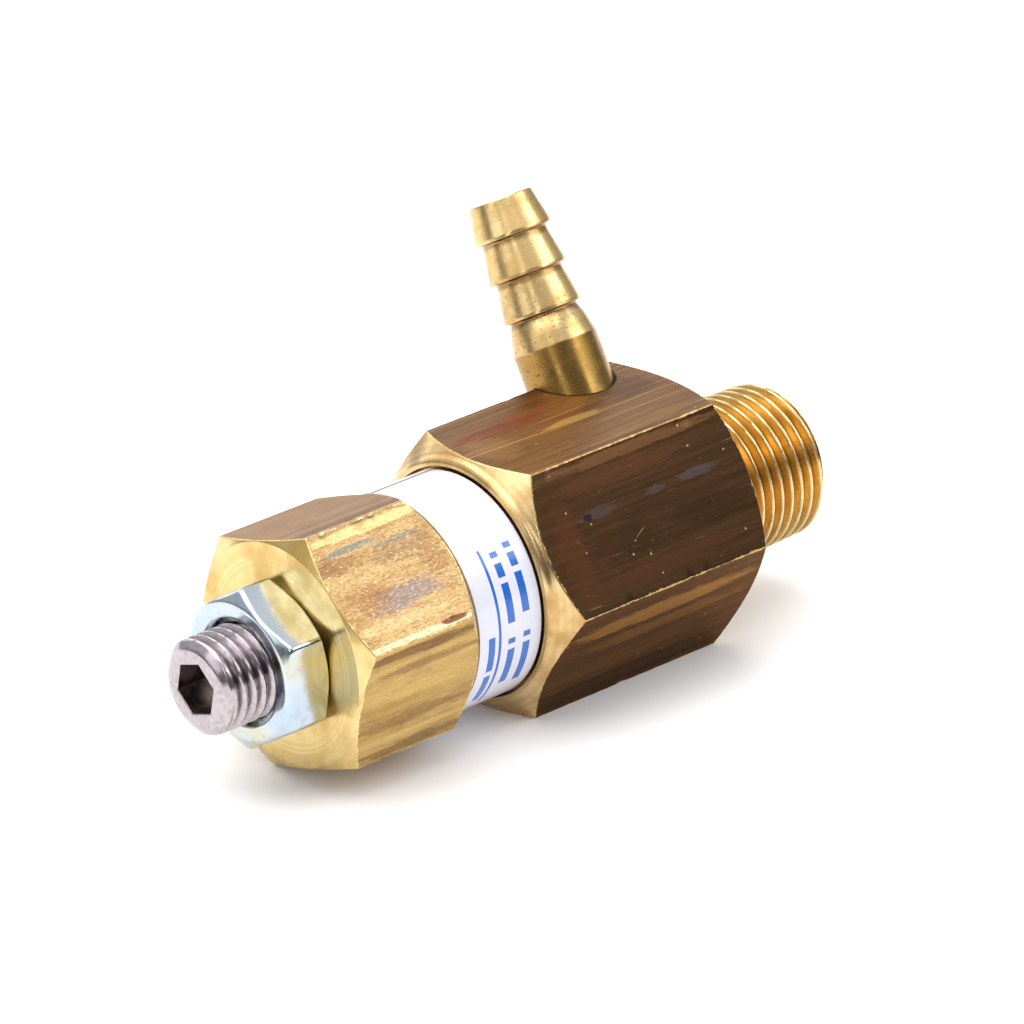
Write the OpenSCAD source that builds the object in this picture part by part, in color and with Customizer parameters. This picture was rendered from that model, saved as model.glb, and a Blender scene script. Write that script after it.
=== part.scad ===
// Adjustable pressure relief valve with a tapered pipe inlet, a barbed outlet and a
// spring-loaded ball.  Millimetres.  +X runs along the valve axis towards the inlet,
// +Z is square to the flat that lies uppermost, and the origin is on the valve axis in
// the plane of the shoulder behind the inlet thread.

/* [Body] */
// Width of the body hexagon across its flats
body_af = 34; // [33.5:0.25:36]
// Length of the body from its front ring to its rear shoulder
body_length = 36.9; // [36.5:0.1:38]
// Length of the inlet thread from the shoulder to the end face
inlet_length = 18.7; // [17:0.1:21]
// Diameter over the last full crest of the inlet thread
inlet_d = 20.8; // [20.5:0.05:21.1]
// Pitch of the inlet thread, 14 turns to the inch
inlet_pitch = 1.814; // [1.6:0.002:1.9]
// Diameter of the inlet passage
inlet_bore_d = 11; // [9:0.25:12]

/* [Bonnet] */
// Width of the bonnet hexagon across its flats
bonnet_af = 30; // [29.5:0.25:30.5]
// Length of the bonnet hexagon from its front face to its rear corner edges
bonnet_hex_length = 17.5; // [16.5:0.1:18.5]
// Angle that the bonnet was tightened to, against the body hexagon
bonnet_turn = -16.7; // [-30:0.1:30]
// Diameter of the neck between the two hexagons
neck_d = 29.8; // [29:0.1:29.8]
// Length of the neck and its rear cone that shows between the hexagons
neck_length = 13.15; // [12.5:0.05:14]
// Thickness of the label wrapped round the neck
label_t = 0.11; // [0.08:0.01:0.14]

/* [Adjuster] */
// Major diameter of the adjusting screw thread
screw_d = 12.7; // [12:0.1:12.7]
// Pitch of the adjusting screw, 16 turns to the inch
screw_pitch = 1.588; // [1.25:0.002:2]
// Overall length of the adjusting screw
screw_length = 27.5; // [26.5:0.1:29]
// Width across the flats of the hexagon socket in the screw
socket_af = 6.35; // [5:0.05:6.5]
// Depth of the hexagon socket
socket_depth = 7.5; // [6:0.1:9]
// Angle of the socket against the body hexagon
socket_turn = -18.5; // [-30:0.1:30]
// Width of the lock nut across its flats
nut_af = 19.05; // [18:0.05:20]
// Thickness of the lock nut
nut_t = 7.05; // [6:0.05:8]
// Angle of the lock nut against the body hexagon
nut_turn = 28; // [-30:0.1:30]

/* [Outlet barb] */
// Distance of the barb's axis in front of the shoulder
barb_setback = 9; // [8.7:0.1:9.3]
// Distance of the barb's tip from the valve axis
barb_reach = 44.2; // [43:0.1:46]
// Diameter over the barb's ridges
barb_ridge_d = 10.48; // [9.6:0.02:10.6]
// Distance from one ridge to the next
barb_pitch = 5.37; // [5.2:0.01:5.4]
// Diameter of the plain root of the barb
barb_root_d = 11.3; // [11:0.05:11.4]
// Diameter of the passage through the barb
barb_bore_d = 6; // [5:0.1:6.4]

/* [Inside] */
// Diameter of the ball
ball_d = 8; // [7.6:0.1:8]
// Diameter of the piston rod that carries the ball
rod_d = 9; // [8.9:0.02:9]
// Radial running clearance of the rod in its guide
rod_clearance = 0.03; // [0.02:0.01:0.06]
// Wire diameter of the spring
wire_d = 3.2; // [2.6:0.1:3.2]
// Mean diameter of the spring coils
coil_d = 13.8; // [13.6:0.1:13.8]
// Number of coils, end coils included
coil_turns = 4.25; // [3.75:0.25:5]

/* [Hidden] */

// Facets of curves that the exact rebuild turns back into true curves
$fn = 72;
// Overshoot of a cutting shape past the face it cuts
over = 1;

// Colours
tarnished_brass = [0.38, 0.27, 0.16];
bright_brass = [0.80, 0.66, 0.36];
inner_brass = [0.74, 0.62, 0.38];
stainless = [0.72, 0.72, 0.74];
spring_steel = [0.42, 0.42, 0.44];
zinc = [0.78, 0.81, 0.84];
nickel = [0.66, 0.62, 0.63];
black_rubber = [0.06, 0.06, 0.06];
white_plastic = [0.92, 0.92, 0.90];
paper_white = [0.96, 0.96, 0.98];

// Body stations along X
front = -body_length;
front_corner = front + 3.3;
rear_corner = -1.87;
bonnet_stop = front + 1;
tap_end = bonnet_stop + 11.3;
flange_pocket_end = tap_end + 1;
chamber_end = -2.2;
seat_pocket_end = 2.9;
inlet_end = inlet_length;

// Body radii
mouth_r = 15.15;
seal_recess_r = 14;
tap_r = 13.15;
flange_pocket_r = 11.6;
chamber_r = 9.5;
seat_pocket_r = 7.05;
ring_r = 16.7;
seal_recess_length = 2.3;
thread_depth = 0.69 * inlet_pitch;
pipe_taper = 1 / 32;

// Bonnet stations
neck_front = bonnet_stop;
bonnet_rear_corner = front - neck_length;
bonnet_front = bonnet_rear_corner - bonnet_hex_length;
bonnet_thread_end = tap_end - 1;
bonnet_thread_r = 13;
neck_r = neck_d / 2;
spring_room_r = 9;
spring_room_front = bonnet_front + 9.95;

// Adjuster stations
screw_r = screw_d / 2;
screw_hole_r = screw_r + 0.07;
screw_tip = bonnet_front + 13.45;
screw_front = screw_tip - screw_length;
dog_length = 2;
dog_r = 4.5;
nut_front = bonnet_front - nut_t;
plate_front = screw_tip - 1;
plate_rear = plate_front + 4;
plate_spigot_r = 4.9;
plate_spigot = 3;

// Stations of the ball, its piston and the parts around them
bush_front = bonnet_thread_end;
bush_flange_t = 2;
bush_end = bush_front + 11;
seat_front = -4.1;
seat_cone_r = 4;
seat_bore_r = 2.5;
ball_r = ball_d / 2;
// A 45 degree cone touches the ball here; the ball is held just clear of it
ball_x = seat_front + seat_cone_r - ball_r * sqrt(2) - 0.043;
lower_plate_front = bush_front - 3;
lower_plate_rear = bush_front - 0.5;
stem_r = 3;
stem_front = lower_plate_front - 4.6;
clip_front = lower_plate_front - 3.8;
clip_t = 0.8;
piston_head_front = bush_end + 2.5;
piston_head_rear = ball_x - 1.2;
rod_r = rod_d / 2;
seal_groove_front = bush_front + 4.9;
seal_groove_rear = seal_groove_front + 3.4;
seal_groove_r = 3.2;

// Barb stations along its own axis, from the valve axis outwards
barb_lean = 30;
barb_root_bottom = 15.5;
barb_shank_end = 10.6;
barb_shank_r = 4.9;
barb_socket_r = 5.9;
ridge_r = barb_ridge_d / 2;
ridge_land = 0.38;
ridge_top = barb_reach - 4.6;
ridge_count = 3;

// Width across corners from width across flats, as a radius
function corner_r(af) = af / sqrt(3);

// Shape with its axis laid along X, from points [radius, x]
module turned(points) {
    rotate([0, 90, 0]) rotate_extrude() polygon(points);
}

// Hexagonal bar along X with a flat uppermost, then turned by an angle
module hex_bar(af, x0, x1, turn = 0) {
    translate([x0, 0, 0])
        rotate([turn, 0, 0])
            rotate([0, 90, 0])
                rotate([0, 0, 30])
                    cylinder(r = corner_r(af), h = x1 - x0, $fn = 6);
}

// Plain washer or sleeve along X
module sleeve(x0, x1, r_out, r_in) {
    turned([[r_in, x0], [r_out, x0], [r_out, x1], [r_in, x1]]);
}

// O-ring round the valve axis
module o_ring(x, mean_r, section_r) {
    translate([x, 0, 0])
        rotate([0, 90, 0])
            rotate_extrude()
                translate([mean_r, 0])
                    circle(r = section_r, $fn = 40);
}

// Frame whose +Z is the barb's axis, with its origin on the valve axis
module on_barb_axis() {
    translate([-barb_setback, 0, 0]) rotate([-barb_lean, 0, 0]) children();
}

// Points [radius, x] of V grooves cut at each pitch.  taper is the radius lost per
// millimetre from x1 back to x0, where the radius is that at x1 plus the taper.
function grooved(x0, x1, r1, taper, pitch, depth) =
    let (
        crest = 0.2 * pitch,
        root = 0.12 * pitch,
        flank = (pitch - crest - root) / 2,
        turns = floor((x1 - x0 - crest) / pitch),
        start = x1 - crest - turns * pitch
    )
    [
        for (i = [0 : turns], step = [0 : 3])
            if (i < turns || step < 2)
                let (
                    shift = [0, crest, crest + flank, crest + flank + root][step],
                    x = start + i * pitch + shift,
                    r = r1 + taper * (x1 - x)
                )
                [step < 2 ? r : r - depth, x]
    ];

// ---- Body ----------------------------------------------------------------------

// Turned outline that chamfers both ends of the body hexagon and leaves a raised ring
module body_outline() {
    corner = corner_r(body_af);
    front_slope = 0.83;
    rear_slope = 0.62;
    ring_back = front_corner - front_slope * (corner - ring_r);
    turned([
        [0, front],
        [mouth_r + 0.1, front],
        [mouth_r + 0.6, front + 0.1],
        [ring_r - 0.3, ring_back - 0.35],
        [ring_r - 0.05, ring_back - 0.1],
        [ring_r, ring_back],
        [corner + over, front_corner + front_slope * over],
        [corner + over, rear_corner - rear_slope * over],
        [corner + rear_corner / rear_slope, 0],
        [0, 0]
    ]);
}

// Male thread with a plain neck at the shoulder and a chamfered end
module inlet_thread() {
    root_r = inlet_d / 2 - thread_depth;
    neck_r = root_r + 0.4;
    neck_end = 1.5;
    end_chamfer = 1.2;
    turned(concat(
        [[0, -0.5], [neck_r, -0.5], [neck_r, neck_end]],
        grooved(neck_end + 0.5, inlet_end - end_chamfer, inlet_d / 2, pipe_taper,
                inlet_pitch, thread_depth),
        [[root_r - 0.05, inlet_end], [0, inlet_end]]
    ));
}

module body_cavity() {
    bore_r = inlet_bore_d / 2;
    mouth_chamfer = 0.6;
    turned([
        [0, front - over],
        [mouth_r, front - over],
        [mouth_r, bonnet_stop],
        [seal_recess_r, bonnet_stop],
        [seal_recess_r, bonnet_stop + seal_recess_length],
        [tap_r, bonnet_stop + seal_recess_length],
        [tap_r, tap_end],
        [flange_pocket_r, tap_end],
        [flange_pocket_r, flange_pocket_end],
        [chamber_r, flange_pocket_end],
        [chamber_r, chamber_end],
        [seat_pocket_r, chamber_end],
        [seat_pocket_r, seat_pocket_end],
        [bore_r, seat_pocket_end],
        [bore_r, inlet_end - mouth_chamfer],
        [bore_r + mouth_chamfer + over, inlet_end + over],
        [0, inlet_end + over]
    ]);
}

// Stepped hole from the chamber out through a corner of the hexagon.  The spin keeps
// the seams of its walls off the corner edge.
module outlet_port() {
    port_r = 3.5;
    seam_spin = 50;
    on_barb_axis()
        rotate([0, 0, seam_spin]) {
            translate([0, 0, chamber_r - 3]) cylinder(r = port_r, h = 8);
            translate([0, 0, barb_shank_end - 0.1]) cylinder(r = barb_shank_r + 0.1, h = 12);
            translate([0, 0, barb_root_bottom]) cylinder(r = barb_socket_r, h = 12);
        }
}

module valve_body() {
    color(tarnished_brass)
        difference() {
            union() {
                intersection() {
                    hex_bar(body_af, front, 0);
                    body_outline();
                }
                inlet_thread();
            }
            body_cavity();
            outlet_port();
        }
}

// ---- Bonnet --------------------------------------------------------------------

// Turned outline that chamfers the front of the bonnet hexagon and cones its rear
module bonnet_outline() {
    corner = corner_r(bonnet_af);
    face_r = bonnet_af / 2 - 0.17;
    front_slope = 0.54;
    turned([
        [0, bonnet_front],
        [face_r, bonnet_front],
        [corner + over, bonnet_front + front_slope * (corner + over - face_r)],
        [corner + over, bonnet_rear_corner - over],
        [neck_r, bonnet_rear_corner + corner - neck_r],
        [neck_r, bonnet_rear_corner + 5],
        [0, bonnet_rear_corner + 5]
    ]);
}

module bonnet() {
    relief_r = 12;
    relief_end = neck_front + seal_recess_length;
    end_chamfer = 0.8;
    mouth_chamfer = 0.5;
    color(bright_brass)
        difference() {
            union() {
                intersection() {
                    hex_bar(bonnet_af, bonnet_front, bonnet_rear_corner + 5, bonnet_turn);
                    bonnet_outline();
                }
                turned([
                    [0, bonnet_rear_corner + 4],
                    [neck_r, bonnet_rear_corner + 4],
                    [neck_r, neck_front],
                    [relief_r, neck_front],
                    [relief_r, relief_end],
                    [bonnet_thread_r, relief_end + bonnet_thread_r - relief_r],
                    [bonnet_thread_r, bonnet_thread_end - end_chamfer],
                    [bonnet_thread_r - end_chamfer, bonnet_thread_end],
                    [0, bonnet_thread_end]
                ]);
            }
            turned([
                [0, bonnet_front - over],
                [screw_hole_r + mouth_chamfer + over, bonnet_front - over],
                [screw_hole_r, bonnet_front + mouth_chamfer],
                [screw_hole_r, spring_room_front],
                [spring_room_r, spring_room_front],
                [spring_room_r, bonnet_thread_end + over],
                [0, bonnet_thread_end + over]
            ]);
        }
}

module bonnet_oring() {
    color(black_rubber) o_ring(neck_front + seal_recess_length / 2, tap_r - 0.15, 0.96);
}

// Wrapped label: one turn, and a short overlap that makes the seam
module label() {
    gap = 0.02;
    x0 = bonnet_rear_corner + corner_r(bonnet_af) - neck_r + 0.15;
    x1 = front - 0.15;
    overlap_angle = 6;
    color(paper_white) {
        sleeve(x0, x1, neck_r + gap + label_t, neck_r + gap);
        rotate([-(54 + overlap_angle), 0, 0])
            translate([x0, 0, 0])
                rotate([0, 90, 0])
                    rotate([0, 0, 180])
                        rotate_extrude(angle = overlap_angle)
                            translate([neck_r + gap + label_t, 0])
                                square([label_t / 2, x1 - x0]);
    }
}

// ---- Ball, seat and their housing ----------------------------------------------

module valve_seat() {
    spigot_r = 7;
    groove_r = 5.6;
    back = seat_pocket_end - 0.2;
    color(stainless)
        turned([
            [seat_cone_r, seat_front],
            [9.45, seat_front],
            [9.45, chamber_end - 0.05],
            [spigot_r, chamber_end - 0.05],
            [spigot_r, -0.8],
            [groove_r, -0.8],
            [groove_r, 1.3],
            [spigot_r, 1.3],
            [spigot_r, back],
            [seat_bore_r + 1.5, back],
            [seat_bore_r, back - 1.5],
            [seat_bore_r, seat_front + seat_cone_r - seat_bore_r]
        ]);
}

module seat_oring() {
    color(black_rubber) o_ring(0.25, 6.33, 0.7);
}

// Spacer between seat and bush, with six ports and a gathering groove round them
module port_cage() {
    inner_r = 6.5;
    groove_r = 8.6;
    groove_half = 2.3;
    port_r = 1.75;
    port_count = 6;
    color(inner_brass)
        difference() {
            turned([
                [inner_r, bush_end],
                [9.45, bush_end],
                [9.45, -barb_setback - groove_half],
                [groove_r, -barb_setback - groove_half],
                [groove_r, -barb_setback + groove_half],
                [9.45, -barb_setback + groove_half],
                [9.45, seat_front],
                [inner_r, seat_front]
            ]);
            for (i = [0 : port_count - 1])
                translate([-barb_setback, 0, 0])
                    rotate([i * 360 / port_count - barb_lean, 0, 0])
                        cylinder(r = port_r, h = 12);
        }
}

module guide_bush() {
    groove_front = bush_front + 5;
    groove_rear = groove_front + 2;
    bore_r = rod_r + rod_clearance;
    color(inner_brass)
        turned([
            [bore_r + 0.4, bush_front],
            [11.5, bush_front],
            [11.5, bush_front + bush_flange_t],
            [9.45, bush_front + bush_flange_t],
            [9.45, groove_front],
            [8.1, groove_front],
            [8.1, groove_rear],
            [9.45, groove_rear],
            [9.45, bush_end],
            [bore_r + 0.4, bush_end],
            [bore_r, bush_end - 0.4],
            [bore_r, bush_front + 0.4]
        ]);
}

module guide_oring() {
    color(black_rubber) o_ring(bush_front + 6, 8.8, 0.68);
}

module ball() {
    color(stainless) translate([ball_x, 0, 0]) sphere(r = ball_r);
}

module piston() {
    head_r = 5.6;
    color(stainless)
        difference() {
            turned([
                [0, stem_front],
                [stem_r - 0.4, stem_front],
                [stem_r, stem_front + 0.4],
                [stem_r, clip_front],
                [stem_r - 0.6, clip_front],
                [stem_r - 0.6, clip_front + clip_t + 0.05],
                [stem_r, clip_front + clip_t + 0.05],
                [stem_r, lower_plate_rear],
                [rod_r, lower_plate_rear],
                [rod_r, seal_groove_front],
                [seal_groove_r, seal_groove_front],
                [seal_groove_r, seal_groove_rear],
                [rod_r, seal_groove_rear],
                [rod_r, piston_head_front],
                [head_r, piston_head_front + head_r - rod_r],
                [head_r, piston_head_rear - 1],
                [head_r - 1, piston_head_rear],
                [0, piston_head_rear]
            ]);
            translate([ball_x, 0, 0]) sphere(r = ball_r + 0.02);
        }
}

module piston_oring() {
    color(black_rubber)
        o_ring(seal_groove_rear - 0.9, rod_r - 0.65, 0.63);
}

module piston_backup_ring() {
    color(white_plastic)
        sleeve(seal_groove_front + 0.1, seal_groove_front + 1.2, rod_r - 0.01, seal_groove_r + 0.05);
}

// ---- Spring stack --------------------------------------------------------------

module lower_spring_plate() {
    plate_r = 8.4;
    spigot_front = lower_plate_front - 3;
    hole_r = stem_r + 0.05;
    color(stainless)
        turned([
            [hole_r, spigot_front],
            [plate_spigot_r - 0.6, spigot_front],
            [plate_spigot_r, spigot_front + 0.6],
            [plate_spigot_r, lower_plate_front],
            [plate_r, lower_plate_front],
            [plate_r, lower_plate_rear],
            [hole_r, lower_plate_rear]
        ]);
}

module spring_plate_clip() {
    clip_out = 4.4;
    color(spring_steel)
        difference() {
            sleeve(clip_front + 0.02, clip_front + clip_t, clip_out, stem_r - 0.55);
            translate([clip_front - over, -1.6, 0])
                cube([clip_t + 2 * over, 3.2, clip_out + over]);
        }
}

module upper_spring_plate() {
    plate_r = 8.6;
    color(stainless)
        turned([
            [0, screw_tip],
            [dog_r + 0.1, screw_tip],
            [dog_r + 0.1, plate_front],
            [plate_r - 0.5, plate_front],
            [plate_r, plate_front + 0.5],
            [plate_r, plate_rear],
            [plate_spigot_r, plate_rear],
            [plate_spigot_r, plate_rear + plate_spigot - 0.6],
            [plate_spigot_r - 0.6, plate_rear + plate_spigot],
            [0, plate_rear + plate_spigot]
        ]);
}

// Coil height as a share of the free height: flat end coils and an even middle
function coil_rise(turn, total, wire, height) =
    let (
        flat = 0.75,
        middle = (turn - flat) / (total - 2 * flat),
        end_rise = 0.9 * wire * flat
    )
    turn < flat ? 0.9 * wire * turn :
    turn > total - flat ? height - 0.9 * wire * (total - turn) :
    end_rise + middle * (height - 2 * end_rise);

module main_spring() {
    sides = 8;
    steps_per_turn = 24;
    steps = round(coil_turns * steps_per_turn);
    start = plate_rear + wire_d / 2;
    height = lower_plate_front - wire_d / 2 - start;
    wire_r = wire_d / 2;
    rings = [
        for (i = [0 : steps], s = [0 : sides - 1])
            let (
                turn = i * coil_turns / steps,
                around = 360 * turn,
                tilt = 360 * (s + 0.5) / sides,
                r = coil_d / 2 + wire_r * cos(tilt)
            )
            [
                start + coil_rise(turn, coil_turns, wire_d, height) + wire_r * sin(tilt),
                r * cos(around),
                r * sin(around)
            ]
    ];
    walls = [
        for (i = [0 : steps - 1], s = [0 : sides - 1])
            let (a = i * sides + s, b = i * sides + (s + 1) % sides)
            [a, b, b + sides, a + sides]
    ];
    first_cap = [for (s = [sides - 1 : -1 : 0]) s];
    last_cap = [for (s = [0 : sides - 1]) steps * sides + s];
    color(spring_steel)
        polyhedron(points = rings, faces = concat(walls, [first_cap, last_cap]));
}

// ---- Adjuster ------------------------------------------------------------------

module adjusting_screw() {
    chamfer = 0.75;
    thread_end = screw_tip - dog_length;
    depth = 0.61 * screw_pitch;
    color(nickel)
        difference() {
            turned(concat(
                [[0, screw_front], [screw_r - chamfer, screw_front]],
                grooved(screw_front + chamfer, thread_end - 0.6, screw_r, 0, screw_pitch, depth),
                [[dog_r, thread_end], [dog_r, screw_tip], [0, screw_tip]]
            ));
            hex_bar(socket_af, screw_front - over, screw_front + socket_depth, socket_turn);
            turned([
                [0, screw_front + socket_depth - 0.01],
                [socket_af / 2 - 0.05, screw_front + socket_depth - 0.01],
                [0, screw_front + socket_depth + 1.8]
            ]);
        }
}

module lock_nut() {
    rear = bonnet_front - 0.02;
    face_r = 0.95 * nut_af / 2;
    outline_r = corner_r(nut_af) + over;
    bevel = (outline_r - face_r) * tan(30);
    front_countersink = 0.9;
    rear_countersink = 0.7;
    color(zinc)
        difference() {
            intersection() {
                hex_bar(nut_af, nut_front, rear, nut_turn);
                turned([
                    [0, nut_front],
                    [face_r, nut_front],
                    [outline_r, nut_front + bevel],
                    [outline_r, rear - bevel],
                    [face_r, rear],
                    [0, rear]
                ]);
            }
            turned([
                [0, nut_front - over],
                [screw_hole_r + front_countersink + over, nut_front - over],
                [screw_hole_r, nut_front + front_countersink],
                [screw_hole_r, rear - rear_countersink],
                [screw_hole_r + rear_countersink + over, rear + over],
                [0, rear + over]
            ]);
        }
}

// ---- Outlet --------------------------------------------------------------------

// Ridge by ridge from the tip: each cone widens towards the valve and ends in a step
function barb_outline() = concat(
    [[ridge_r - 0.97, barb_reach]],
    [
        for (i = [0 : ridge_count - 1], step = [0 : 2])
            let (
                top = ridge_top - i * barb_pitch,
                neck_r = 4.36 + 0.05 * i
            )
            step == 0 ? [ridge_r, top] :
            step == 1 ? [ridge_r, top - ridge_land] :
            [neck_r, top - ridge_land - 0.15]
    ],
    [
        [barb_root_d / 2 - 0.2, 24],
        [barb_root_d / 2, 22.6],
        [barb_root_d / 2, barb_root_bottom],
        [barb_shank_r, barb_root_bottom],
        [barb_shank_r, barb_shank_end + 0.5],
        [barb_shank_r - 0.5, barb_shank_end]
    ]
);

module hose_barb() {
    bore_r = barb_bore_d / 2;
    color(bright_brass)
        on_barb_axis()
            rotate_extrude()
                polygon(concat(
                    [[bore_r, barb_reach]],
                    barb_outline(),
                    [[bore_r, barb_shank_end]]
                ));
}

// Bead of sealant in the ring gap between the barb's root and the body
module barb_seal() {
    gap = 0.01;
    seam_spin = 50;
    color(black_rubber)
        intersection() {
            on_barb_axis()
                rotate([0, 0, seam_spin])
                    translate([0, 0, barb_root_bottom])
                        difference() {
                            cylinder(r = barb_socket_r - gap, h = 6);
                            translate([0, 0, -over]) cylinder(r = barb_root_d / 2 + gap, h = 8);
                        }
            hex_bar(body_af - 0.1, front, 0);
        }
}

valve_body();
bonnet();
bonnet_oring();
label();
guide_bush();
guide_oring();
port_cage();
valve_seat();
seat_oring();
hose_barb();
barb_seal();
ball();
piston();
piston_oring();
piston_backup_ring();
lower_spring_plate();
spring_plate_clip();
main_spring();
upper_spring_plate();
adjusting_screw();
lock_nut();
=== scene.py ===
"""Visual model of an adjustable pressure relief valve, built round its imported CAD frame.

Sizes are in millimetres until a mesh is written, when they become metres.  Angles round
the valve axis are measured from +Y towards +Z, so that the uppermost flat is at 90 degrees.
"""

import math
import random

import bmesh
import bpy
import numpy as np
from mathutils import Matrix, Vector


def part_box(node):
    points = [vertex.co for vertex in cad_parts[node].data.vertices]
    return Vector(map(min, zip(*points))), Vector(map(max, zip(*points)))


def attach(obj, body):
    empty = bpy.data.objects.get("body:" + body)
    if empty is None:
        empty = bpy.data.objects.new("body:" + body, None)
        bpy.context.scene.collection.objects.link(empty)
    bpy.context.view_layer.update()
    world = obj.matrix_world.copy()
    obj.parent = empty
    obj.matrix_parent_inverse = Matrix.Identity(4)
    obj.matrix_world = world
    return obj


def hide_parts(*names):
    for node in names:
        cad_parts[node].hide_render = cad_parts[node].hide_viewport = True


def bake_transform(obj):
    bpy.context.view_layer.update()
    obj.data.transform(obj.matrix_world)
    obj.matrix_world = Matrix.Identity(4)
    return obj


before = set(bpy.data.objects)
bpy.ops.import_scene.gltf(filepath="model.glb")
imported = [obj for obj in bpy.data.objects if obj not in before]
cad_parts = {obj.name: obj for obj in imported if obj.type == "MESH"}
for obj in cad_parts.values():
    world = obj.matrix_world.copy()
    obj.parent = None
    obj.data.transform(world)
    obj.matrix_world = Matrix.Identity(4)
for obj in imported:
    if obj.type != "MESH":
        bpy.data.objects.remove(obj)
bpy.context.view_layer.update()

MM = 0.001
SECTOR = math.pi / 3


def mm_box(node):
    """Lowest and highest corner of a CAD node, in millimetres."""
    low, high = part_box(node)
    return np.array(low) / MM, np.array(high) / MM


# ---- Sizes, some taken from the frame and the rest given --------------------------

body_low, body_high = mm_box("valve_body")
bonnet_low, bonnet_high = mm_box("bonnet")
screw_low, screw_high = mm_box("adjusting_screw")
nut_low, nut_high = mm_box("lock_nut")
label_low, label_high = mm_box("label")
spring_low, spring_high = mm_box("main_spring")

# Body
BODY_APOTHEM = body_high[2]
BODY_FRONT = body_low[0]
INLET_END = body_high[0]
FRONT_CORNER = BODY_FRONT + 3.3
REAR_CORNER = -1.87
MOUTH_R = 15.15
RING_R = 16.7
BONNET_STOP = BODY_FRONT + 1
RELIEF_LENGTH = 2.3
INLET_BORE_R = 5.5
PIPE_PITCH = 25.4 / 14
PIPE_TAPER = 1 / 32
PIPE_CREST_R = 10.52
PIPE_THREAD_END = INLET_END - 1.2

# Bonnet
BONNET_FRONT = bonnet_low[0]
BONNET_END = bonnet_high[0]
BONNET_APOTHEM = 15.0
BONNET_TURN = math.radians(-16.7)
BONNET_REAR_CORNER = BODY_FRONT - 13.15
NECK_R = 14.9
SPRING_ROOM_R = 9.0

# Adjuster
SCREW_FRONT = screw_low[0]
SCREW_TIP = screw_high[0]
SCREW_R = screw_high[2]
SCREW_HOLE_R = SCREW_R + 0.07
SCREW_PITCH = 25.4 / 16
SOCKET_APOTHEM = 6.35 / 2
SOCKET_TURN = math.radians(-18.5)
SOCKET_DEPTH = 7.5
NUT_FRONT = nut_low[0]
NUT_REAR = nut_high[0]
NUT_APOTHEM = 19.05 / 2
NUT_TURN = math.radians(28)

# Barb, along its own axis from the valve axis outwards
BARB_X = -9.0
BARB_LEAN = math.radians(30)
BARB_TIP = 44.2
BARB_ROOT_R = 5.65
BARB_SOCKET_R = 5.9
BARB_BORE_R = 3.0
BARB_SHANK_R = 4.9
BARB_SHANK_END = 10.6
BARB_ROOT_BOTTOM = 15.5
BARB_CREASE = 24.1
BARB_RIDGE_PITCH = 5.37
BARB_FIRST_RIDGE = BARB_TIP - 4.6
BARB_RIDGE_LAND = 0.38


# ---- Lathe: rows of a profile round an axis, with hexagonal stretches ---------------

class Columns:
    """Angles round the axis, crowded where a hexagon has its corners."""

    def __init__(self, apothem, turn=0.0, corner_round=0.3, cuts=22):
        near_corner = [0.0, 0.06, 0.4, 1.0]
        corner_cuts = 4
        half = (apothem - corner_round) * math.tan(SECTOR / 2)
        scale = min(1, half / 4)
        inner = half - near_corner[-1] * scale
        across = [-half + n * scale for n in near_corner]
        across += list(np.linspace(-inner, inner, cuts + 1)[1:-1])
        across += [half - n * scale for n in reversed(near_corner)]
        flat = [math.atan2(t, apothem) for t in across]
        gap = SECTOR - (flat[-1] - flat[0])
        corner = [flat[-1] + gap * k / corner_cuts for k in range(1, corner_cuts)]
        offsets = np.array(flat + corner)
        self.apothem = apothem
        self.corner_round = corner_round
        self.angle = np.concatenate([math.pi / 2 + turn + SECTOR * k + offsets for k in range(6)])
        self.offset = np.tile((offsets + SECTOR / 2) % SECTOR - SECTOR / 2, 6)
        self.facet = np.repeat(np.arange(6), len(offsets))

    def hexagon(self):
        """Radius of the hexagon with rounded corners at each column."""
        a, rho = self.apothem, self.corner_round
        centre = (a - rho) / math.cos(SECTOR / 2)
        off = np.abs(self.offset)
        flat = a / np.cos(off)
        eps = SECTOR / 2 - off
        inside = np.maximum(rho**2 - (centre * np.sin(eps)) ** 2, 0)
        rounded = centre * np.cos(eps) + np.sqrt(inside)
        tangent = math.atan2((a - rho) * math.tan(SECTOR / 2), a)
        return np.where(off > tangent, rounded, flat)

    def across(self):
        """Position in mm across its own flat of each column."""
        return self.apothem * np.tan(self.offset)

    def corner_gap(self):
        """Distance in mm along the flat from each column to its nearest corner."""
        half = self.apothem * math.tan(SECTOR / 2)
        return np.maximum(half - self.apothem * np.abs(np.tan(self.offset)), 0)


class RoundColumns:
    """Evenly spaced angles for a piece that has no flats."""

    def __init__(self, count):
        self.angle = np.arange(count) * 2 * math.pi / count
        self.facet = np.zeros(count, int)

    def across(self):
        return np.zeros(len(self.angle))


# Rounded profile corners: rows in each arc, the share of the shorter neighbouring stretch
# that an arc may take, and how far beyond the arc a supporting row lies
ARC_ROWS = 5
LONGEST_ROUNDING = 0.42
SUPPORT_SHARE = 0.12
FAR_FROM_EDGES = 10.0


def profile(*items):
    """Points of a profile as (x, r, rounding, cuts, skin).

    A name sets the skin of the stretches that follow it.  Each point is x and r, which may
    vary from column to column, then its rounding, and the cuts of the stretch after it.
    """
    def point(x, r, rounding=0.0, cuts=1):
        return (x, r, rounding, cuts, skin)

    points, skin = [], None
    for item in items:
        if isinstance(item, str):
            skin = item
        else:
            points.append(point(*item))
    return points


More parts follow.
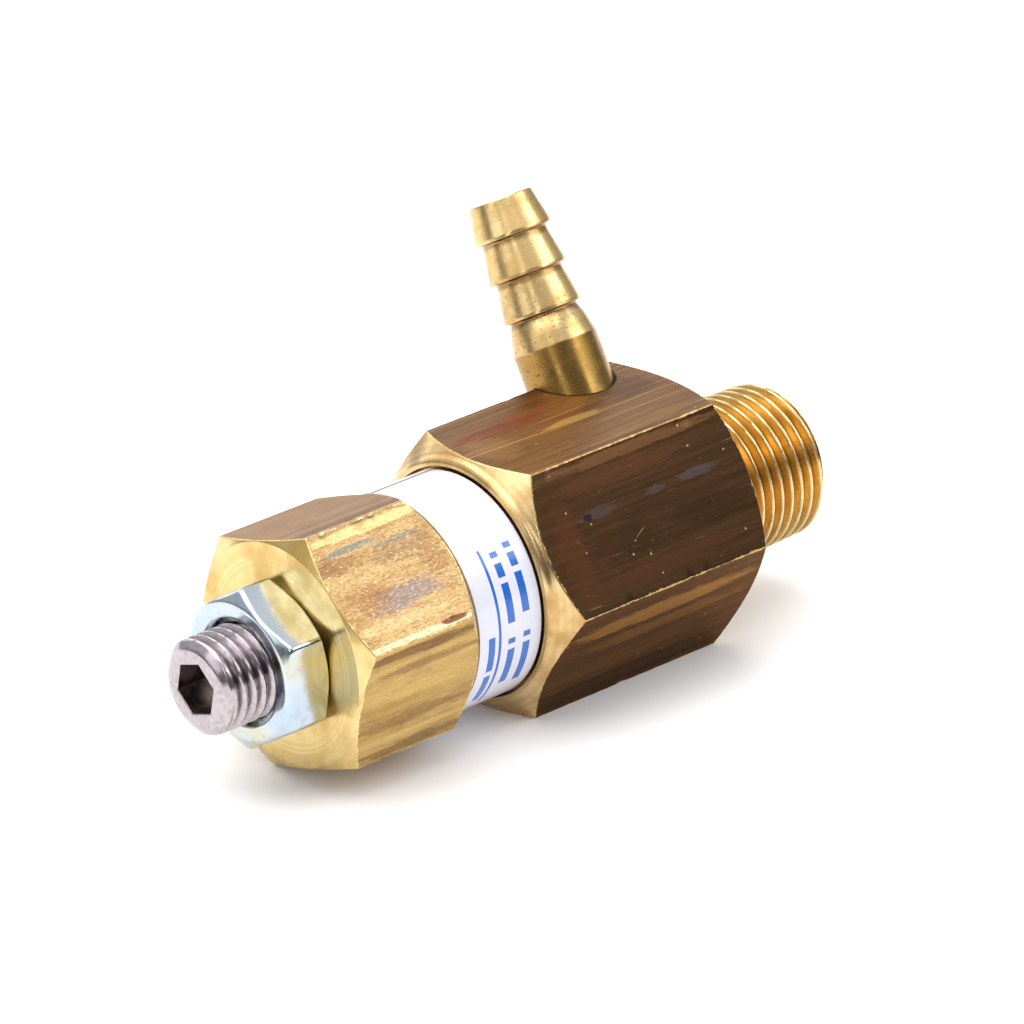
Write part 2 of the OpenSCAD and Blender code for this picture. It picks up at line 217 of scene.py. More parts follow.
def rounded_rows(points, columns, closed):
    """Rows of a profile whose corners are rounded."""
    n = len(columns.angle)
    corners = [
        np.stack([np.broadcast_to(p[0], n), np.broadcast_to(p[1], n)], 1).astype(float)
        for p in points
    ]
    count = len(points)
    arcs = []
    for k, p in enumerate(points):
        before = corners[k - 1] - corners[k]
        after = corners[(k + 1) % count] - corners[k]
        if p[2] <= 0 or (not closed and k in (0, count - 1)):
            arcs.append([corners[k]])
            continue
        len_b = np.linalg.norm(before, axis=1, keepdims=True) + 1e-9
        len_a = np.linalg.norm(after, axis=1, keepdims=True) + 1e-9
        reach = np.minimum(p[2], LONGEST_ROUNDING * np.minimum(len_b, len_a))
        t1 = corners[k] + before / len_b * reach
        t2 = corners[k] + after / len_a * reach
        support = SUPPORT_SHARE * reach
        arc = [t1 + before / len_b * support]
        for s in np.linspace(0, 1, ARC_ROWS):
            arc.append((1 - s) ** 2 * t1 + 2 * s * (1 - s) * corners[k] + s * s * t2)
        arc.append(t2 + after / len_a * support)
        arcs.append(arc)
    rows, skins = [], []
    for k, arc in enumerate(arcs):
        cuts, skin = points[k][3:]
        for i, row in enumerate(arc):
            rows.append(row)
            skins.append(points[k - 1][4] if i < len(arc) // 2 else skin)
        if closed or k < count - 1:
            following = arcs[(k + 1) % count][0]
            for i in range(1, cuts):
                rows.append(arc[-1] + (following - arc[-1]) * i / cuts)
                skins.append(skin)
    return np.array(rows), skins, np.array(corners)


def lathe(name, columns, points, materials, closed=True, shape=None, place=None, worn=()):
    """Mesh object from a profile turned round +X.

    closed joins the last row to the first, as on a piece with a through bore; otherwise
    the ends run to the axis.  shape(x, r, angle, skins) may change radii before the mesh
    is made, place maps mm points into the frame, and worn lists the profile points whose
    edges are rubbed bright.
    """
    rows, skins, corners = rounded_rows(points, columns, closed)
    x, r = rows[:, :, 0].copy(), rows[:, :, 1].copy()
    a = np.broadcast_to(columns.angle, x.shape)
    if shape:
        x, r = shape(x, r, a, skins)
    height, width = x.shape
    verts = np.stack([x, r * np.cos(a), r * np.sin(a)], 2).reshape(-1, 3)
    faces = ring_faces(height, width, closed)
    spans = len(faces) // width
    face_skin = [skin for skin in skins[:spans] for _ in range(width)]
    face_facet = [int(facet) for facet in columns.facet] * spans
    points3 = [tuple(v) for v in verts]
    edge = edge_distance(x, r, columns, corners, skins, worn)
    if not closed:
        for row, flip in ((0, True), (height - 1, False)):
            points3.append((float(x[row].mean()), 0.0, 0.0))
            edge.append(FAR_FROM_EDGES)
            tip = len(points3) - 1
            for k in range(width):
                m = (k + 1) % width
                ring = (row * width + m, row * width + k, tip)
                faces.append(tuple(reversed(ring)) if flip else ring)
                face_skin.append(skins[row])
                face_facet.append(0)
    placed = np.array(points3)
    if place is not None:
        placed = place(placed)
    slots = list(materials)
    obj = add_mesh(name, placed, faces, [materials[slot_name] for slot_name in slots],
                   [slots.index(skin) for skin in face_skin])
    side = list(np.tile(columns.across(), height)) + [0.0] * (len(points3) - height * width)
    for attribute_name, domain, values in (
        ("edge_gap", "POINT", edge), ("across", "POINT", side), ("facet", "FACE", face_facet),
    ):
        attribute = obj.data.attributes.new(attribute_name, "FLOAT", domain)
        attribute.data.foreach_set("value", np.array(values, np.float32))
    obj.data.update()
    recalculate(obj)
    return obj


def ring_faces(rings, sides, closed=True):
    """Quads between neighbouring rings of points; closed joins the last to the first."""
    faces = []
    for i in range(rings if closed else rings - 1):
        j = (i + 1) % rings
        for k in range(sides):
            m = (k + 1) % sides
            faces.append((i * sides + k, j * sides + k, j * sides + m, i * sides + m))
    return faces


def add_mesh(name, points_mm, faces, materials, face_material=None):
    """Smooth-shaded object in the scene, from points in millimetres."""
    mesh = bpy.data.meshes.new(name)
    mesh.from_pydata((np.array(points_mm) * MM).tolist(), [], faces)
    for material in materials:
        mesh.materials.append(material)
    if face_material:
        mesh.polygons.foreach_set("material_index", face_material)
    mesh.polygons.foreach_set("use_smooth", [True] * len(faces))
    obj = bpy.data.objects.new(name, mesh)
    bpy.context.scene.collection.objects.link(obj)
    return obj


def edge_distance(x, r, columns, corners, skins, worn):
    """Distance in mm from each vertex to the nearest worn edge."""
    best = np.full(x.shape, FAR_FROM_EDGES)
    for k in worn:
        best = np.minimum(best, np.hypot(x - corners[k][:, 0], r - corners[k][:, 1]))
    if worn:
        nearest = np.minimum(best, columns.corner_gap()[None, :])
        best = np.where(rows_of(skins, "flats"), nearest, best)
    return list(best.ravel())


def rows_of(skins, skin):
    """Mask of the profile rows that have a skin."""
    return np.array([s == skin for s in skins])[:, None]


def recalculate(obj):
    """Outward normals, no doubled points, and sharp edges where faces meet steeply."""
    bm = bmesh.new()
    bm.from_mesh(obj.data)
    bmesh.ops.remove_doubles(bm, verts=bm.verts, dist=2e-7)
    bmesh.ops.dissolve_degenerate(bm, edges=bm.edges, dist=1e-7)
    bmesh.ops.recalc_face_normals(bm, faces=bm.faces)
    sharp_angle = math.radians(40)
    for e in bm.edges:
        e.smooth = len(e.link_faces) == 2 and e.calc_face_angle(0) < sharp_angle
    bm.to_mesh(obj.data)
    bm.free()


def thread_radius(x, angle, crest_r, pitch, depth, crest_land, root_land, soft):
    """Radius of a right-handed V thread; soft rounds its crests and roots."""
    phase = np.mod((x - pitch * angle / (2 * math.pi)) / pitch, 1.0)
    away = np.minimum(phase, 1 - phase) * pitch
    run = pitch / 2 - crest_land - root_land
    s = np.clip((away - crest_land) / run, 0, 1)
    smooth = s * s * (3 - 2 * s)
    return crest_r - depth * ((1 - soft) * s + soft * smooth)


def nicks(seed, count, x_low, x_high):
    """Small dents for the hexagon's corners: corner, X, half length, depth."""
    rng = random.Random(seed)
    half_lengths, depths = (0.4, 1.1), (0.04, 0.15)
    return [
        (rng.randrange(6), rng.uniform(x_low, x_high), rng.uniform(*half_lengths),
         rng.uniform(*depths))
        for _ in range(count)
    ]


def dent(x, r, columns, skins, marks):
    """Radii with the marks pressed into the corners of the flats."""
    on_flat = rows_of(skins, "flats")
    middle = columns.angle[0] - columns.offset[0]
    for corner, place, half_length, depth in marks:
        at = middle + SECTOR * (corner + 0.5)
        away = np.abs((columns.angle - at + math.pi) % (2 * math.pi) - math.pi) * r
        along = np.clip(1 - ((x - place) / half_length) ** 2, 0, 1)
        side = np.clip(1 - (away / (0.3 + half_length / 2)) ** 2, 0, 1)
        r = np.where(on_flat, r - depth * along * side, r)
    return r


# ---- Materials -----------------------------------------------------------------------

def srgb(red, green, blue):
    """Linear colour from 0-255 display values."""
    def linear(c):
        c = c / 255
        return c / 12.92 if c <= 0.04045 else ((c + 0.055) / 1.055) ** 2.4
    return (linear(red), linear(green), linear(blue), 1.0)


class Shade:
    """A material's node tree, with one short method per kind of node."""

    def __init__(self, name, metallic=1.0, roughness=0.3, **constants):
        self.material = bpy.data.materials.new(name)
        self.material.use_nodes = True
        self.tree = self.material.node_tree
        self.bsdf = self.tree.nodes["Principled BSDF"]
        self.bsdf.inputs["Metallic"].default_value = metallic
        self.bsdf.inputs["Roughness"].default_value = roughness
        for key, value in constants.items():
            self.bsdf.inputs[key.replace("_", " ")].default_value = value
        coord = self.tree.nodes.new("ShaderNodeTexCoord")
        scale = self.tree.nodes.new("ShaderNodeVectorMath")
        scale.operation = "SCALE"
        scale.inputs["Scale"].default_value = 1 / MM
        self.tree.links.new(coord.outputs["Object"], scale.inputs[0])
        self.mm = scale.outputs[0]
        self.colour = None

    def link(self, source, target):
        """Sets a socket from a constant, or links it to another socket."""
        if isinstance(source, (int, float, tuple)):
            target.default_value = source
        else:
            self.tree.links.new(source, target)

    def stretch(self, x, y, z, shift=(0, 0, 0)):
        """Coordinates in mm multiplied per axis."""
        node = self.tree.nodes.new("ShaderNodeVectorMath")
        node.operation = "MULTIPLY_ADD"
        self.link(self.mm, node.inputs[0])
        node.inputs[1].default_value = (x, y, z)
        node.inputs[2].default_value = shift
        return node.outputs[0]

    def noise(self, vector, scale=1.0, detail=4.0, rough=0.55, distortion=0.0):
        node = self.tree.nodes.new("ShaderNodeTexNoise")
        self.link(vector, node.inputs["Vector"])
        node.inputs["Scale"].default_value = scale
        node.inputs["Detail"].default_value = detail
        node.inputs["Roughness"].default_value = rough
        node.inputs["Distortion"].default_value = distortion
        return node.outputs["Fac"]

    def dots(self, vector):
        """Distance from scattered points, one to each unit cell."""
        node = self.tree.nodes.new("ShaderNodeTexVoronoi")
        self.link(vector, node.inputs["Vector"])
        node.inputs["Scale"].default_value = 1.0
        return node.outputs["Distance"]

    def ramp(self, fac, stops):
        """Begins the colour as a ramp; stops are (position, display colour)."""
        node = self.tree.nodes.new("ShaderNodeValToRGB")
        self.link(fac, node.inputs["Fac"])
        elements = node.color_ramp.elements
        while len(elements) < len(stops):
            elements.new(0.5)
        for element, (position, rgb) in zip(elements, stops):
            element.position = position
            element.color = srgb(*rgb)
        self.colour = node.outputs["Color"]

    def step(self, value, low, high, out_low=0.0, out_high=1.0):
        """Smooth change from out_low to out_high as value goes from low to high."""
        node = self.tree.nodes.new("ShaderNodeMapRange")
        node.interpolation_type = "SMOOTHSTEP"
        self.link(value, node.inputs["Value"])
        node.inputs["From Min"].default_value = low
        node.inputs["From Max"].default_value = high
        node.inputs["To Min"].default_value = out_low
        node.inputs["To Max"].default_value = out_high
        return node.outputs["Result"]

    def math(self, operation, a, b=0.0, c=0.0):
        node = self.tree.nodes.new("ShaderNodeMath")
        node.operation = operation
        self.link(a, node.inputs[0])
        self.link(b, node.inputs[1])
        self.link(c, node.inputs[2])
        return node.outputs[0]

    def times(self, a, b):
        return self.math("MULTIPLY", a, b)

    def add(self, a, b):
        return self.math("ADD", a, b)

    def minus(self, a, b):
        return self.math("SUBTRACT", a, b)

    def most(self, a, b):
        return self.math("MAXIMUM", a, b)

    def scaled(self, value, factor, offset):
        return self.math("MULTIPLY_ADD", value, factor, offset)

    def mix(self, fac, a, b):
        """Mix of two colours."""
        node = self.tree.nodes.new("ShaderNodeMix")
        node.data_type = "RGBA"
        colour_a, colour_b, result = node.inputs[6], node.inputs[7], node.outputs[2]
        self.link(fac, node.inputs["Factor"])
        self.link(a, colour_a)
        self.link(b, colour_b)
        return result

    def start(self, fac, light, dark):
        """Begins the colour as a mix of two display colours."""
        self.colour = self.mix(fac, srgb(*light), srgb(*dark))

    def lay(self, mask, rgb, strength=None):
        """Lays a display colour over the colour so far, where the mask says."""
        if strength is not None:
            mask = self.times(mask, strength)
        self.colour = self.mix(mask, self.colour, srgb(*rgb))

    def axis(self, name):
        """One coordinate in mm."""
        node = self.tree.nodes.new("ShaderNodeSeparateXYZ")
        self.link(self.mm, node.inputs[0])
        return node.outputs[name]

    def attribute(self, name):
        node = self.tree.nodes.new("ShaderNodeAttribute")
        node.attribute_name = name
        return node.outputs["Fac"]

    def flat_plane(self, x_scale, across_scale, turn=0.0, shift=0.0):
        """Pattern coordinates on a flat, different on each flat: along X, across it."""
        x, a, f = self.axis("X"), self.attribute("across"), self.attribute("facet")
        c, d = math.cos(turn), math.sin(turn)
        u = self.add(self.times(x, c), self.times(a, d))
        v = self.add(self.times(x, -d), self.times(a, c))
        node = self.tree.nodes.new("ShaderNodeCombineXYZ")
        self.link(self.times(u, x_scale), node.inputs[0])
        self.link(self.times(v, across_scale), node.inputs[1])
        self.link(self.scaled(f, 17.3, shift), node.inputs[2])
        return node.outputs[0]

    def flat_noise(self, detail, rough, *plane):
        return self.noise(self.flat_plane(*plane), 1.0, detail, rough)

    def on_facet(self, index):
        return self.math("COMPARE", self.attribute("facet"), float(index), 0.4)

    def spot(self, facet, x, across, length, width, ragged, seed):
        """Mask of an elongated patch on one flat; ragged breaks up its outline."""
        dx = self.scaled(self.axis("X"), 2 / length, -2 * x / length)
        da = self.scaled(self.attribute("across"), 2 / width, -2 * across / width)
        d = self.math("SQRT", self.add(self.times(dx, dx), self.times(da, da)))
        rough = self.flat_noise(6, 0.8, 0.22, 2.2, 0.0, seed)
        d = self.add(d, self.scaled(rough, 1.6 * ragged, -0.8 * ragged))
        return self.times(self.step(d, 1.0, 0.7), self.on_facet(facet))

    def patched(self, patches, first_seed):
        """Lays a table of patches over the colour, in order."""
        for n, (*place, ragged, strength, rgb) in enumerate(patches):
            self.lay(self.spot(*place, ragged, first_seed + n), rgb, strength)

    def scratches(self, turn, length, width, low, high, seed):
        """Short thin lines lying at an angle to the valve axis."""
        lines = self.flat_noise(2, 0.4, 1 / length, 1 / width, turn, seed)
        return self.step(lines, low, high)

    def radius(self):
        """Distance in mm from the valve axis."""
        y, z = self.axis("Y"), self.axis("Z")
        return self.math("SQRT", self.add(self.times(y, y), self.times(z, z)))

    def bump(self, height, distance_mm, strength=1.0, below=None):
        node = self.tree.nodes.new("ShaderNodeBump")
        self.link(height, node.inputs["Height"])
        node.inputs["Distance"].default_value = distance_mm * MM
        node.inputs["Strength"].default_value = strength
        if below is not None:
            self.link(below, node.inputs["Normal"])
        return node.outputs["Normal"]

    def finish(self, roughness=None, normal=None):
        self.link(self.colour, self.bsdf.inputs["Base Color"])
        if roughness is not None:
            self.link(roughness, self.bsdf.inputs["Roughness"])
        if normal is not None:
            self.link(normal, self.bsdf.inputs["Normal"])
        return self.material


def turned_brass(name, light, dark, pitch_mm=0.35, roughness=0.22, bump=0.7):
    """Freshly turned brass: fine rings round the valve axis and a few darker blotches."""
    s = Shade(name, roughness=roughness, Anisotropic=0.35)
    ring_place = s.add(s.radius(), s.times(s.axis("X"), 1.7))
    rings = s.noise(ring_place, 1 / pitch_mm, 4, 0.65)
    bands = s.noise(ring_place, 0.55, 2, 0.5)
    blotch = s.noise(s.mm, 0.16, 4, 0.55)
    speck = s.noise(s.mm, 1.9, 3, 0.7)
    s.start(s.step(blotch, 0.38, 0.68), light, dark)
    s.lay(s.step(bands, 0.45, 0.7), dark, 0.35)
    s.lay(s.step(rings, 0.4, 0.7), dark, 0.5)
    s.lay(s.step(speck, 0.7, 0.78), (120, 84, 40), 0.5)
    rough = s.step(blotch, 0.3, 0.7, roughness - 0.05, roughness + 0.1)
    return s.finish(rough, s.bump(rings, 0.02, bump))


def edge_wear(s, width_mm, seed):
    """Mask of the rubbed metal along the edges of the flats, in broken stretches."""
    nick = s.noise(s.stretch(1.5, 1.5, 1.5, (seed, 0, 0)), 1.0, 3, 0.7)
    stretch = s.noise(s.stretch(0.16, 0.3, 0.3, (seed, 0, 0)), 1.0, 2, 0.5)
    reach = s.times(s.step(nick, 0.35, 0.8, 0.25, 2.2), s.step(stretch, 0.35, 0.6, 0.3, 1.0))
    gap = s.math("DIVIDE", s.attribute("edge_gap"), width_mm)
    return s.step(s.minus(gap, reach), 0.35, -0.35)


# Patches on the body: flat, X, across, length, width, raggedness, strength, display colour.
# Flats are numbered from the uppermost, turning towards -Y.
BODY_PATCHES = (
    (0, -27.0, -3.6, 17.0, 3.4, 1.2, 0.7, (140, 70, 44)),
    (0, -21.0, -4.6, 9.0, 1.6, 1.3, 0.5, (170, 92, 58)),
    (0, -24.0, 2.6, 11.0, 3.0, 1.3, 0.6, (128, 104, 58)),
    (0, -30.0, 6.2, 12.0, 4.4, 1.2, 0.5, (122, 98, 54)),
    (0, -12.0, 7.6, 22.0, 2.4, 1.0, 0.6, (150, 120, 68)),
    (0, -31.5, 0.5, 7.0, 9.0, 1.2, 0.4, (176, 138, 84)),
    (0, -6.0, -2.0, 9.0, 6.0, 1.2, 0.5, (92, 66, 52)),
    (1, -26.0, -2.3, 6.0, 1.9, 1.9, 0.2, (104, 104, 116)),
    (1, -15.5, -2.3, 3.6, 1.0, 1.9, 0.25, (100, 100, 112)),
    (1, -8.0, -2.6, 9.0, 1.5, 1.9, 0.3, (104, 104, 116)),
    (1, -27.5, -2.2, 1.7, 1.1, 1.6, 0.7, (30, 22, 20)),
    (1, -17.0, -8.6, 32.0, 1.6, 1.3, 0.5, (140, 98, 64)),
    (1, -31.5, 2.0, 5.0, 16.0, 1.4, 0.35, (104, 62, 40)),
    (1, -18.0, 6.6, 28.0, 2.6, 1.4, 0.4, (98, 60, 42)),
    (1, -20.0, -6.4, 24.0, 3.0, 1.5, 0.4, (106, 68, 48)),
    (1, -8.0, 2.0, 16.0, 4.0, 1.5, 0.4, (52, 34, 26)),
    (1, -23.0, 2.5, 12.0, 5.0, 1.6, 0.3, (50, 34, 28)),
    (2, -18.0, -5.4, 34.0, 3.4, 1.2, 0.75, (164, 118, 62)),
    (2, -16.0, -1.8, 30.0, 2.6, 1.4, 0.6, (134, 92, 48)),
    (2, -22.0, 2.6, 30.0, 3.4, 1.2, 0.5, (112, 78, 44)),
    (2, -20.0, 7.4, 36.0, 5.0, 0.9, 0.75, (44, 26, 18)),
    (2, -18.0, -9.0, 36.0, 1.2, 1.2, 0.5, (70, 44, 30)),
)


def body_flats():
    """Tarnished mill skin of the body's flats."""
    s = Shade("body_mill_skin", roughness=0.34)
    streak = s.flat_noise(5, 0.62, 0.02, 0.9)
    fine = s.flat_noise(3, 0.6, 0.09, 5.0, 0.0, 3.0)
    cloud = s.flat_noise(4, 0.6, 0.1, 0.22, 0.0, 8.0)
    s.ramp(
        streak,
        [(0.3, (56, 39, 27)), (0.5, (74, 52, 34)), (0.64, (86, 62, 42)),
         (0.8, (104, 78, 52))],
    )
    top = s.on_facet(0)
    # Painted light and reflection: the uppermost flat is made lighter for the light it catches, and
    # the lower front flat darker for the shadowed floor it mirrors. The brass is the same on every
    # flat.
    s.lay(top, (166, 122, 82), 0.6)
    s.lay(s.on_facet(2), (90, 56, 30), 0.5)
    drawn = s.flat_noise(5, 0.6, 0.045, 1.7, 0.0, 12.0)
    bright_line = s.times(s.step(drawn, 0.53, 0.64), top)
    dark_line = s.times(s.step(drawn, 0.47, 0.38), top)
    s.lay(bright_line, (192, 152, 98), 0.5)
    s.lay(dark_line, (96, 62, 40), 0.5)
    s.lay(s.step(cloud, 0.5, 0.72), (96, 62, 42), 0.3)
    s.patched(BODY_PATCHES, 20.0)
    bold = s.scaled(top, 0.25, 0.12)
    s.lay(s.step(fine, 0.5, 0.72), (50, 34, 24), bold)
    s.lay(s.step(fine, 0.42, 0.28), (150, 118, 78), bold)
    rub_slope, rub_across = 0.0505, 2.27
    rub_line = s.add(s.attribute("across"), s.scaled(s.axis("X"), -rub_slope, -rub_across))
    rub = s.step(s.math("ABSOLUTE", rub_line), 0.22, 0.05)
    rub = s.times(s.times(rub, s.step(s.axis("X"), -13.5, -14.5)), top)
    lens = s.spot(0, -18.2, 0.75, 10.5, 1.7, 0.5, 60.0)
    rub = s.most(rub, lens)
    s.lay(rub, (204, 172, 106), 0.75)
    marks = s.scratches(0.9, 2.6, 0.11, 0.755, 0.8, 31.0)
    marks = s.most(marks, s.scratches(-0.5, 3.4, 0.1, 0.765, 0.81, 47.0))
    marks = s.most(marks, s.scratches(0.03, 9.0, 0.12, 0.755, 0.8, 71.0))
    dots = s.step(s.dots(s.flat_plane(0.34, 0.34, 0.0, 5.0)), 0.07, 0.04)
    marks = s.most(marks, dots)
    s.lay(marks, (206, 178, 116), 0.7)
    s.lay(edge_wear(s, 0.16, 0.0), (214, 182, 122), 0.85)
    # Painted light as well: the uppermost flat's glare is given a whiter tint than the other
    # flats'.
    glare = s.mix(top, (0.85, 0.7, 0.6, 1.0), (1.0, 0.97, 0.95, 1.0))
    s.link(glare, s.bsdf.inputs["Specular Tint"])
    rough = s.step(streak, 0.3, 0.7, 0.42, 0.3)
    height = s.minus(fine, s.times(marks, 2.0))
    return s.finish(rough, s.bump(height, 0.012, 0.6))


# Patches on the bonnet, in the same form
BONNET_PATCHES = (
    (0, -58.0, 6.8, 30.0, 2.4, 0.8, 0.7, (112, 72, 46)),
    (0, -58.0, 3.6, 26.0, 1.6, 1.3, 0.5, (130, 96, 72)),
    (0, -58.0, 8.2, 30.0, 0.7, 0.5, 0.8, (226, 196, 140)),
    (1, -57.0, -7.4, 24.0, 1.6, 0.7, 0.85, (226, 196, 134)),
    (1, -64.5, -4.0, 7.0, 3.0, 1.5, 0.5, (116, 78, 60)),
    (1, -60.5, -5.5, 10.0, 0.9, 1.7, 0.7, (100, 118, 120)),
    (1, -54.0, -4.6, 9.0, 0.8, 1.7, 0.6, (100, 118, 120)),
    (1, -54.0, -3.2, 10.0, 3.8, 1.8, 0.45, (124, 104, 82)),
    (1, -56.5, 2.4, 13.0, 3.4, 2.2, 0.75, (122, 114, 118)),
    (1, -59.5, 3.8, 9.0, 1.4, 2.2, 0.6, (130, 118, 116)),
    (1, -62.5, 1.6, 9.0, 3.4, 1.9, 0.5, (138, 98, 66)),
    (1, -50.5, -0.5, 5.0, 5.0, 1.9, 0.5, (128, 92, 60)),
    (1, -60.0, 5.6, 18.0, 1.8, 1.3, 0.6, (206, 170, 124)),
    # Painted highlight: a bright band along the lower corner of the upper front flat
    (1, -59.0, 8.2, 24.0, 1.0, 0.8, 0.8, (236, 204, 160)),
    (1, -52.5, 7.9, 5.0, 0.9, 0.7, 0.9, (84, 40, 24)),
    (2, -58.0, -7.2, 26.0, 1.7, 1.3, 0.75, (104, 70, 44)),
    (2, -56.0, -4.6, 20.0, 1.6, 2.0, 0.5, (122, 88, 52)),
    (2, -55.0, -1.0, 16.0, 2.2, 1.6, 0.5, (208, 176, 104)),
    (2, -60.0, 3.2, 22.0, 2.2, 2.0, 0.55, (122, 88, 52)),
    (2, -57.0, 5.6, 24.0, 1.0, 1.3, 0.6, (216, 186, 118)),
    (2, -57.0, 7.5, 24.0, 1.9, 1.9, 0.65, (108, 72, 42)),
)


def bonnet_flats():
    """Lighter mill skin of the bonnet, mottled with grey."""
    s = Shade("bonnet_mill_skin", roughness=0.3)
    # Painted light: the glare on the top-back flat is given a warmer tint than on the other flats.
    glare = s.mix(s.on_facet(0), (1.0, 1.0, 1.0, 1.0), (0.9, 0.78, 0.7, 1.0))
    s.link(glare, s.bsdf.inputs["Specular Tint"])
    streak = s.flat_noise(6, 0.65, 0.03, 0.7)
    speckle = s.flat_noise(6, 0.78, 1.7, 4.6, 0.0, 4.0)
    fine = s.flat_noise(4, 0.65, 0.14, 6.0, 0.0, 9.0)
    cloud = s.flat_noise(4, 0.6, 0.2, 0.35, 0.0, 14.0)
    s.ramp(
        streak,
        [(0.34, (150, 112, 66)), (0.5, (186, 152, 98)), (0.66, (206, 176, 120))],
    )
    back, upper, lower = s.on_facet(0), s.on_facet(1), s.on_facet(2)
    # Painted light and reflection: the upper front, top-back and lower front flats each get their
    # own tint for the light they catch and what they mirror. The brass is the same on every flat.
    s.lay(upper, (166, 138, 100), 0.62)
    s.lay(back, (148, 120, 100), 0.55)
    s.lay(lower, (198, 166, 92), 0.45)
    brown = s.times(s.step(cloud, 0.48, 0.62), s.scaled(upper, 0.2, 0.25))
    s.lay(brown, (136, 98, 62))
    s.patched(BONNET_PATCHES, 40.0)
    dusty = s.times(s.step(speckle, 0.5, 0.62), s.scaled(upper, 0.4, 0.15))
    s.lay(dusty, (122, 84, 52))
    bright = s.times(s.step(speckle, 0.44, 0.34), s.scaled(upper, 0.45, 0.15))
    s.lay(bright, (228, 206, 164))
    dark_line = s.times(s.step(fine, 0.52, 0.68), s.scaled(back, 0.6, 0.3))
    s.lay(dark_line, (112, 76, 46))
    marks = s.scratches(0.03, 12.0, 0.12, 0.74, 0.79, 71.0)
    marks = s.most(marks, s.scratches(1.0, 1.4, 0.09, 0.78, 0.82, 12.0))
    marks = s.most(marks, s.scratches(1.5, 1.0, 0.09, 0.77, 0.82, 33.0))
    s.lay(marks, (240, 216, 166), 0.5)
    s.lay(edge_wear(s, 0.2, 5.0), (238, 212, 160), 0.9)
    rough = s.step(speckle, 0.35, 0.7, 0.26, 0.4)
    height = s.add(speckle, s.times(fine, 0.5))
    return s.finish(rough, s.bump(height, 0.013, 0.6))


def pipe_thread_brass():
    """Orange-gold flanks with thin pale crests."""
    s = Shade("inlet_thread_brass", roughness=0.26)
    blotch = s.noise(s.mm, 0.22, 4, 0.6)
    crest_at_zero = PIPE_CREST_R + PIPE_TAPER * PIPE_THREAD_END
    under = s.minus(s.scaled(s.axis("X"), -PIPE_TAPER, crest_at_zero), s.radius())
    s.start(s.step(blotch, 0.38, 0.66), (216, 178, 106), (190, 148, 78))
    # Painted shade: darker deep in the thread's roots.
    s.lay(s.step(under, 0.7, 1.2), (150, 108, 48))
    s.lay(s.step(under, 0.26, 0.06), (224, 198, 146))
    return s.finish(s.step(blotch, 0.3, 0.7, 0.22, 0.32), s.bump(blotch, 0.008, 0.3))


def zinc():
    """Bright zinc plate, bluish with faint yellow tints."""
    s = Shade("zinc_plate", roughness=0.14)
    tint = s.noise(s.mm, 0.13, 3, 0.5)
    mottle = s.noise(s.mm, 0.9, 4, 0.6)
    pit = s.noise(s.mm, 2.6, 3, 0.7)
    s.ramp(tint, [(0.35, (178, 192, 206)), (0.52, (190, 200, 208)),
                           (0.66, (196, 196, 176))])
    s.lay(s.step(mottle, 0.5, 0.72), (140, 156, 176), 0.3)
    s.lay(s.step(pit, 0.7, 0.78), (104, 100, 84), 0.6)
    wavy = s.bump(s.noise(s.mm, 0.3, 1, 0.4), 0.1, 0.5)
    return s.finish(s.step(mottle, 0.3, 0.75, 0.1, 0.22), s.bump(mottle, 0.02, 0.3, wavy))


def nickel():
    """Satin adjusting screw."""
    s = Shade("screw_nickel", roughness=0.2)
    mottle = s.noise(s.mm, 1.6, 4, 0.6)
    under = s.minus(SCREW_R, s.radius())
    s.start(s.step(mottle, 0.35, 0.75), (184, 175, 179), (160, 150, 156))
    # Painted shade: darker in the thread's grooves, from just behind the screw's front face.
    outer = s.step(s.axis("X"), SCREW_FRONT + 0.6, SCREW_FRONT + 1.2)
    groove = s.times(s.step(under, 0.3, 0.8), outer)
    s.lay(groove, (104, 92, 90), 0.8)
    inside = s.times(outer, s.step(s.radius(), 4.2, 4.0))
    s.lay(inside, (178, 170, 166), 0.9)
    lines = s.noise(s.stretch(5, 0.5, 0.5), 1.0, 3, 0.6)
    fine = s.bump(lines, 0.012, 0.5)
    return s.finish(s.step(mottle, 0.3, 0.75, 0.14, 0.24), s.bump(mottle, 0.006, 0.4, fine))


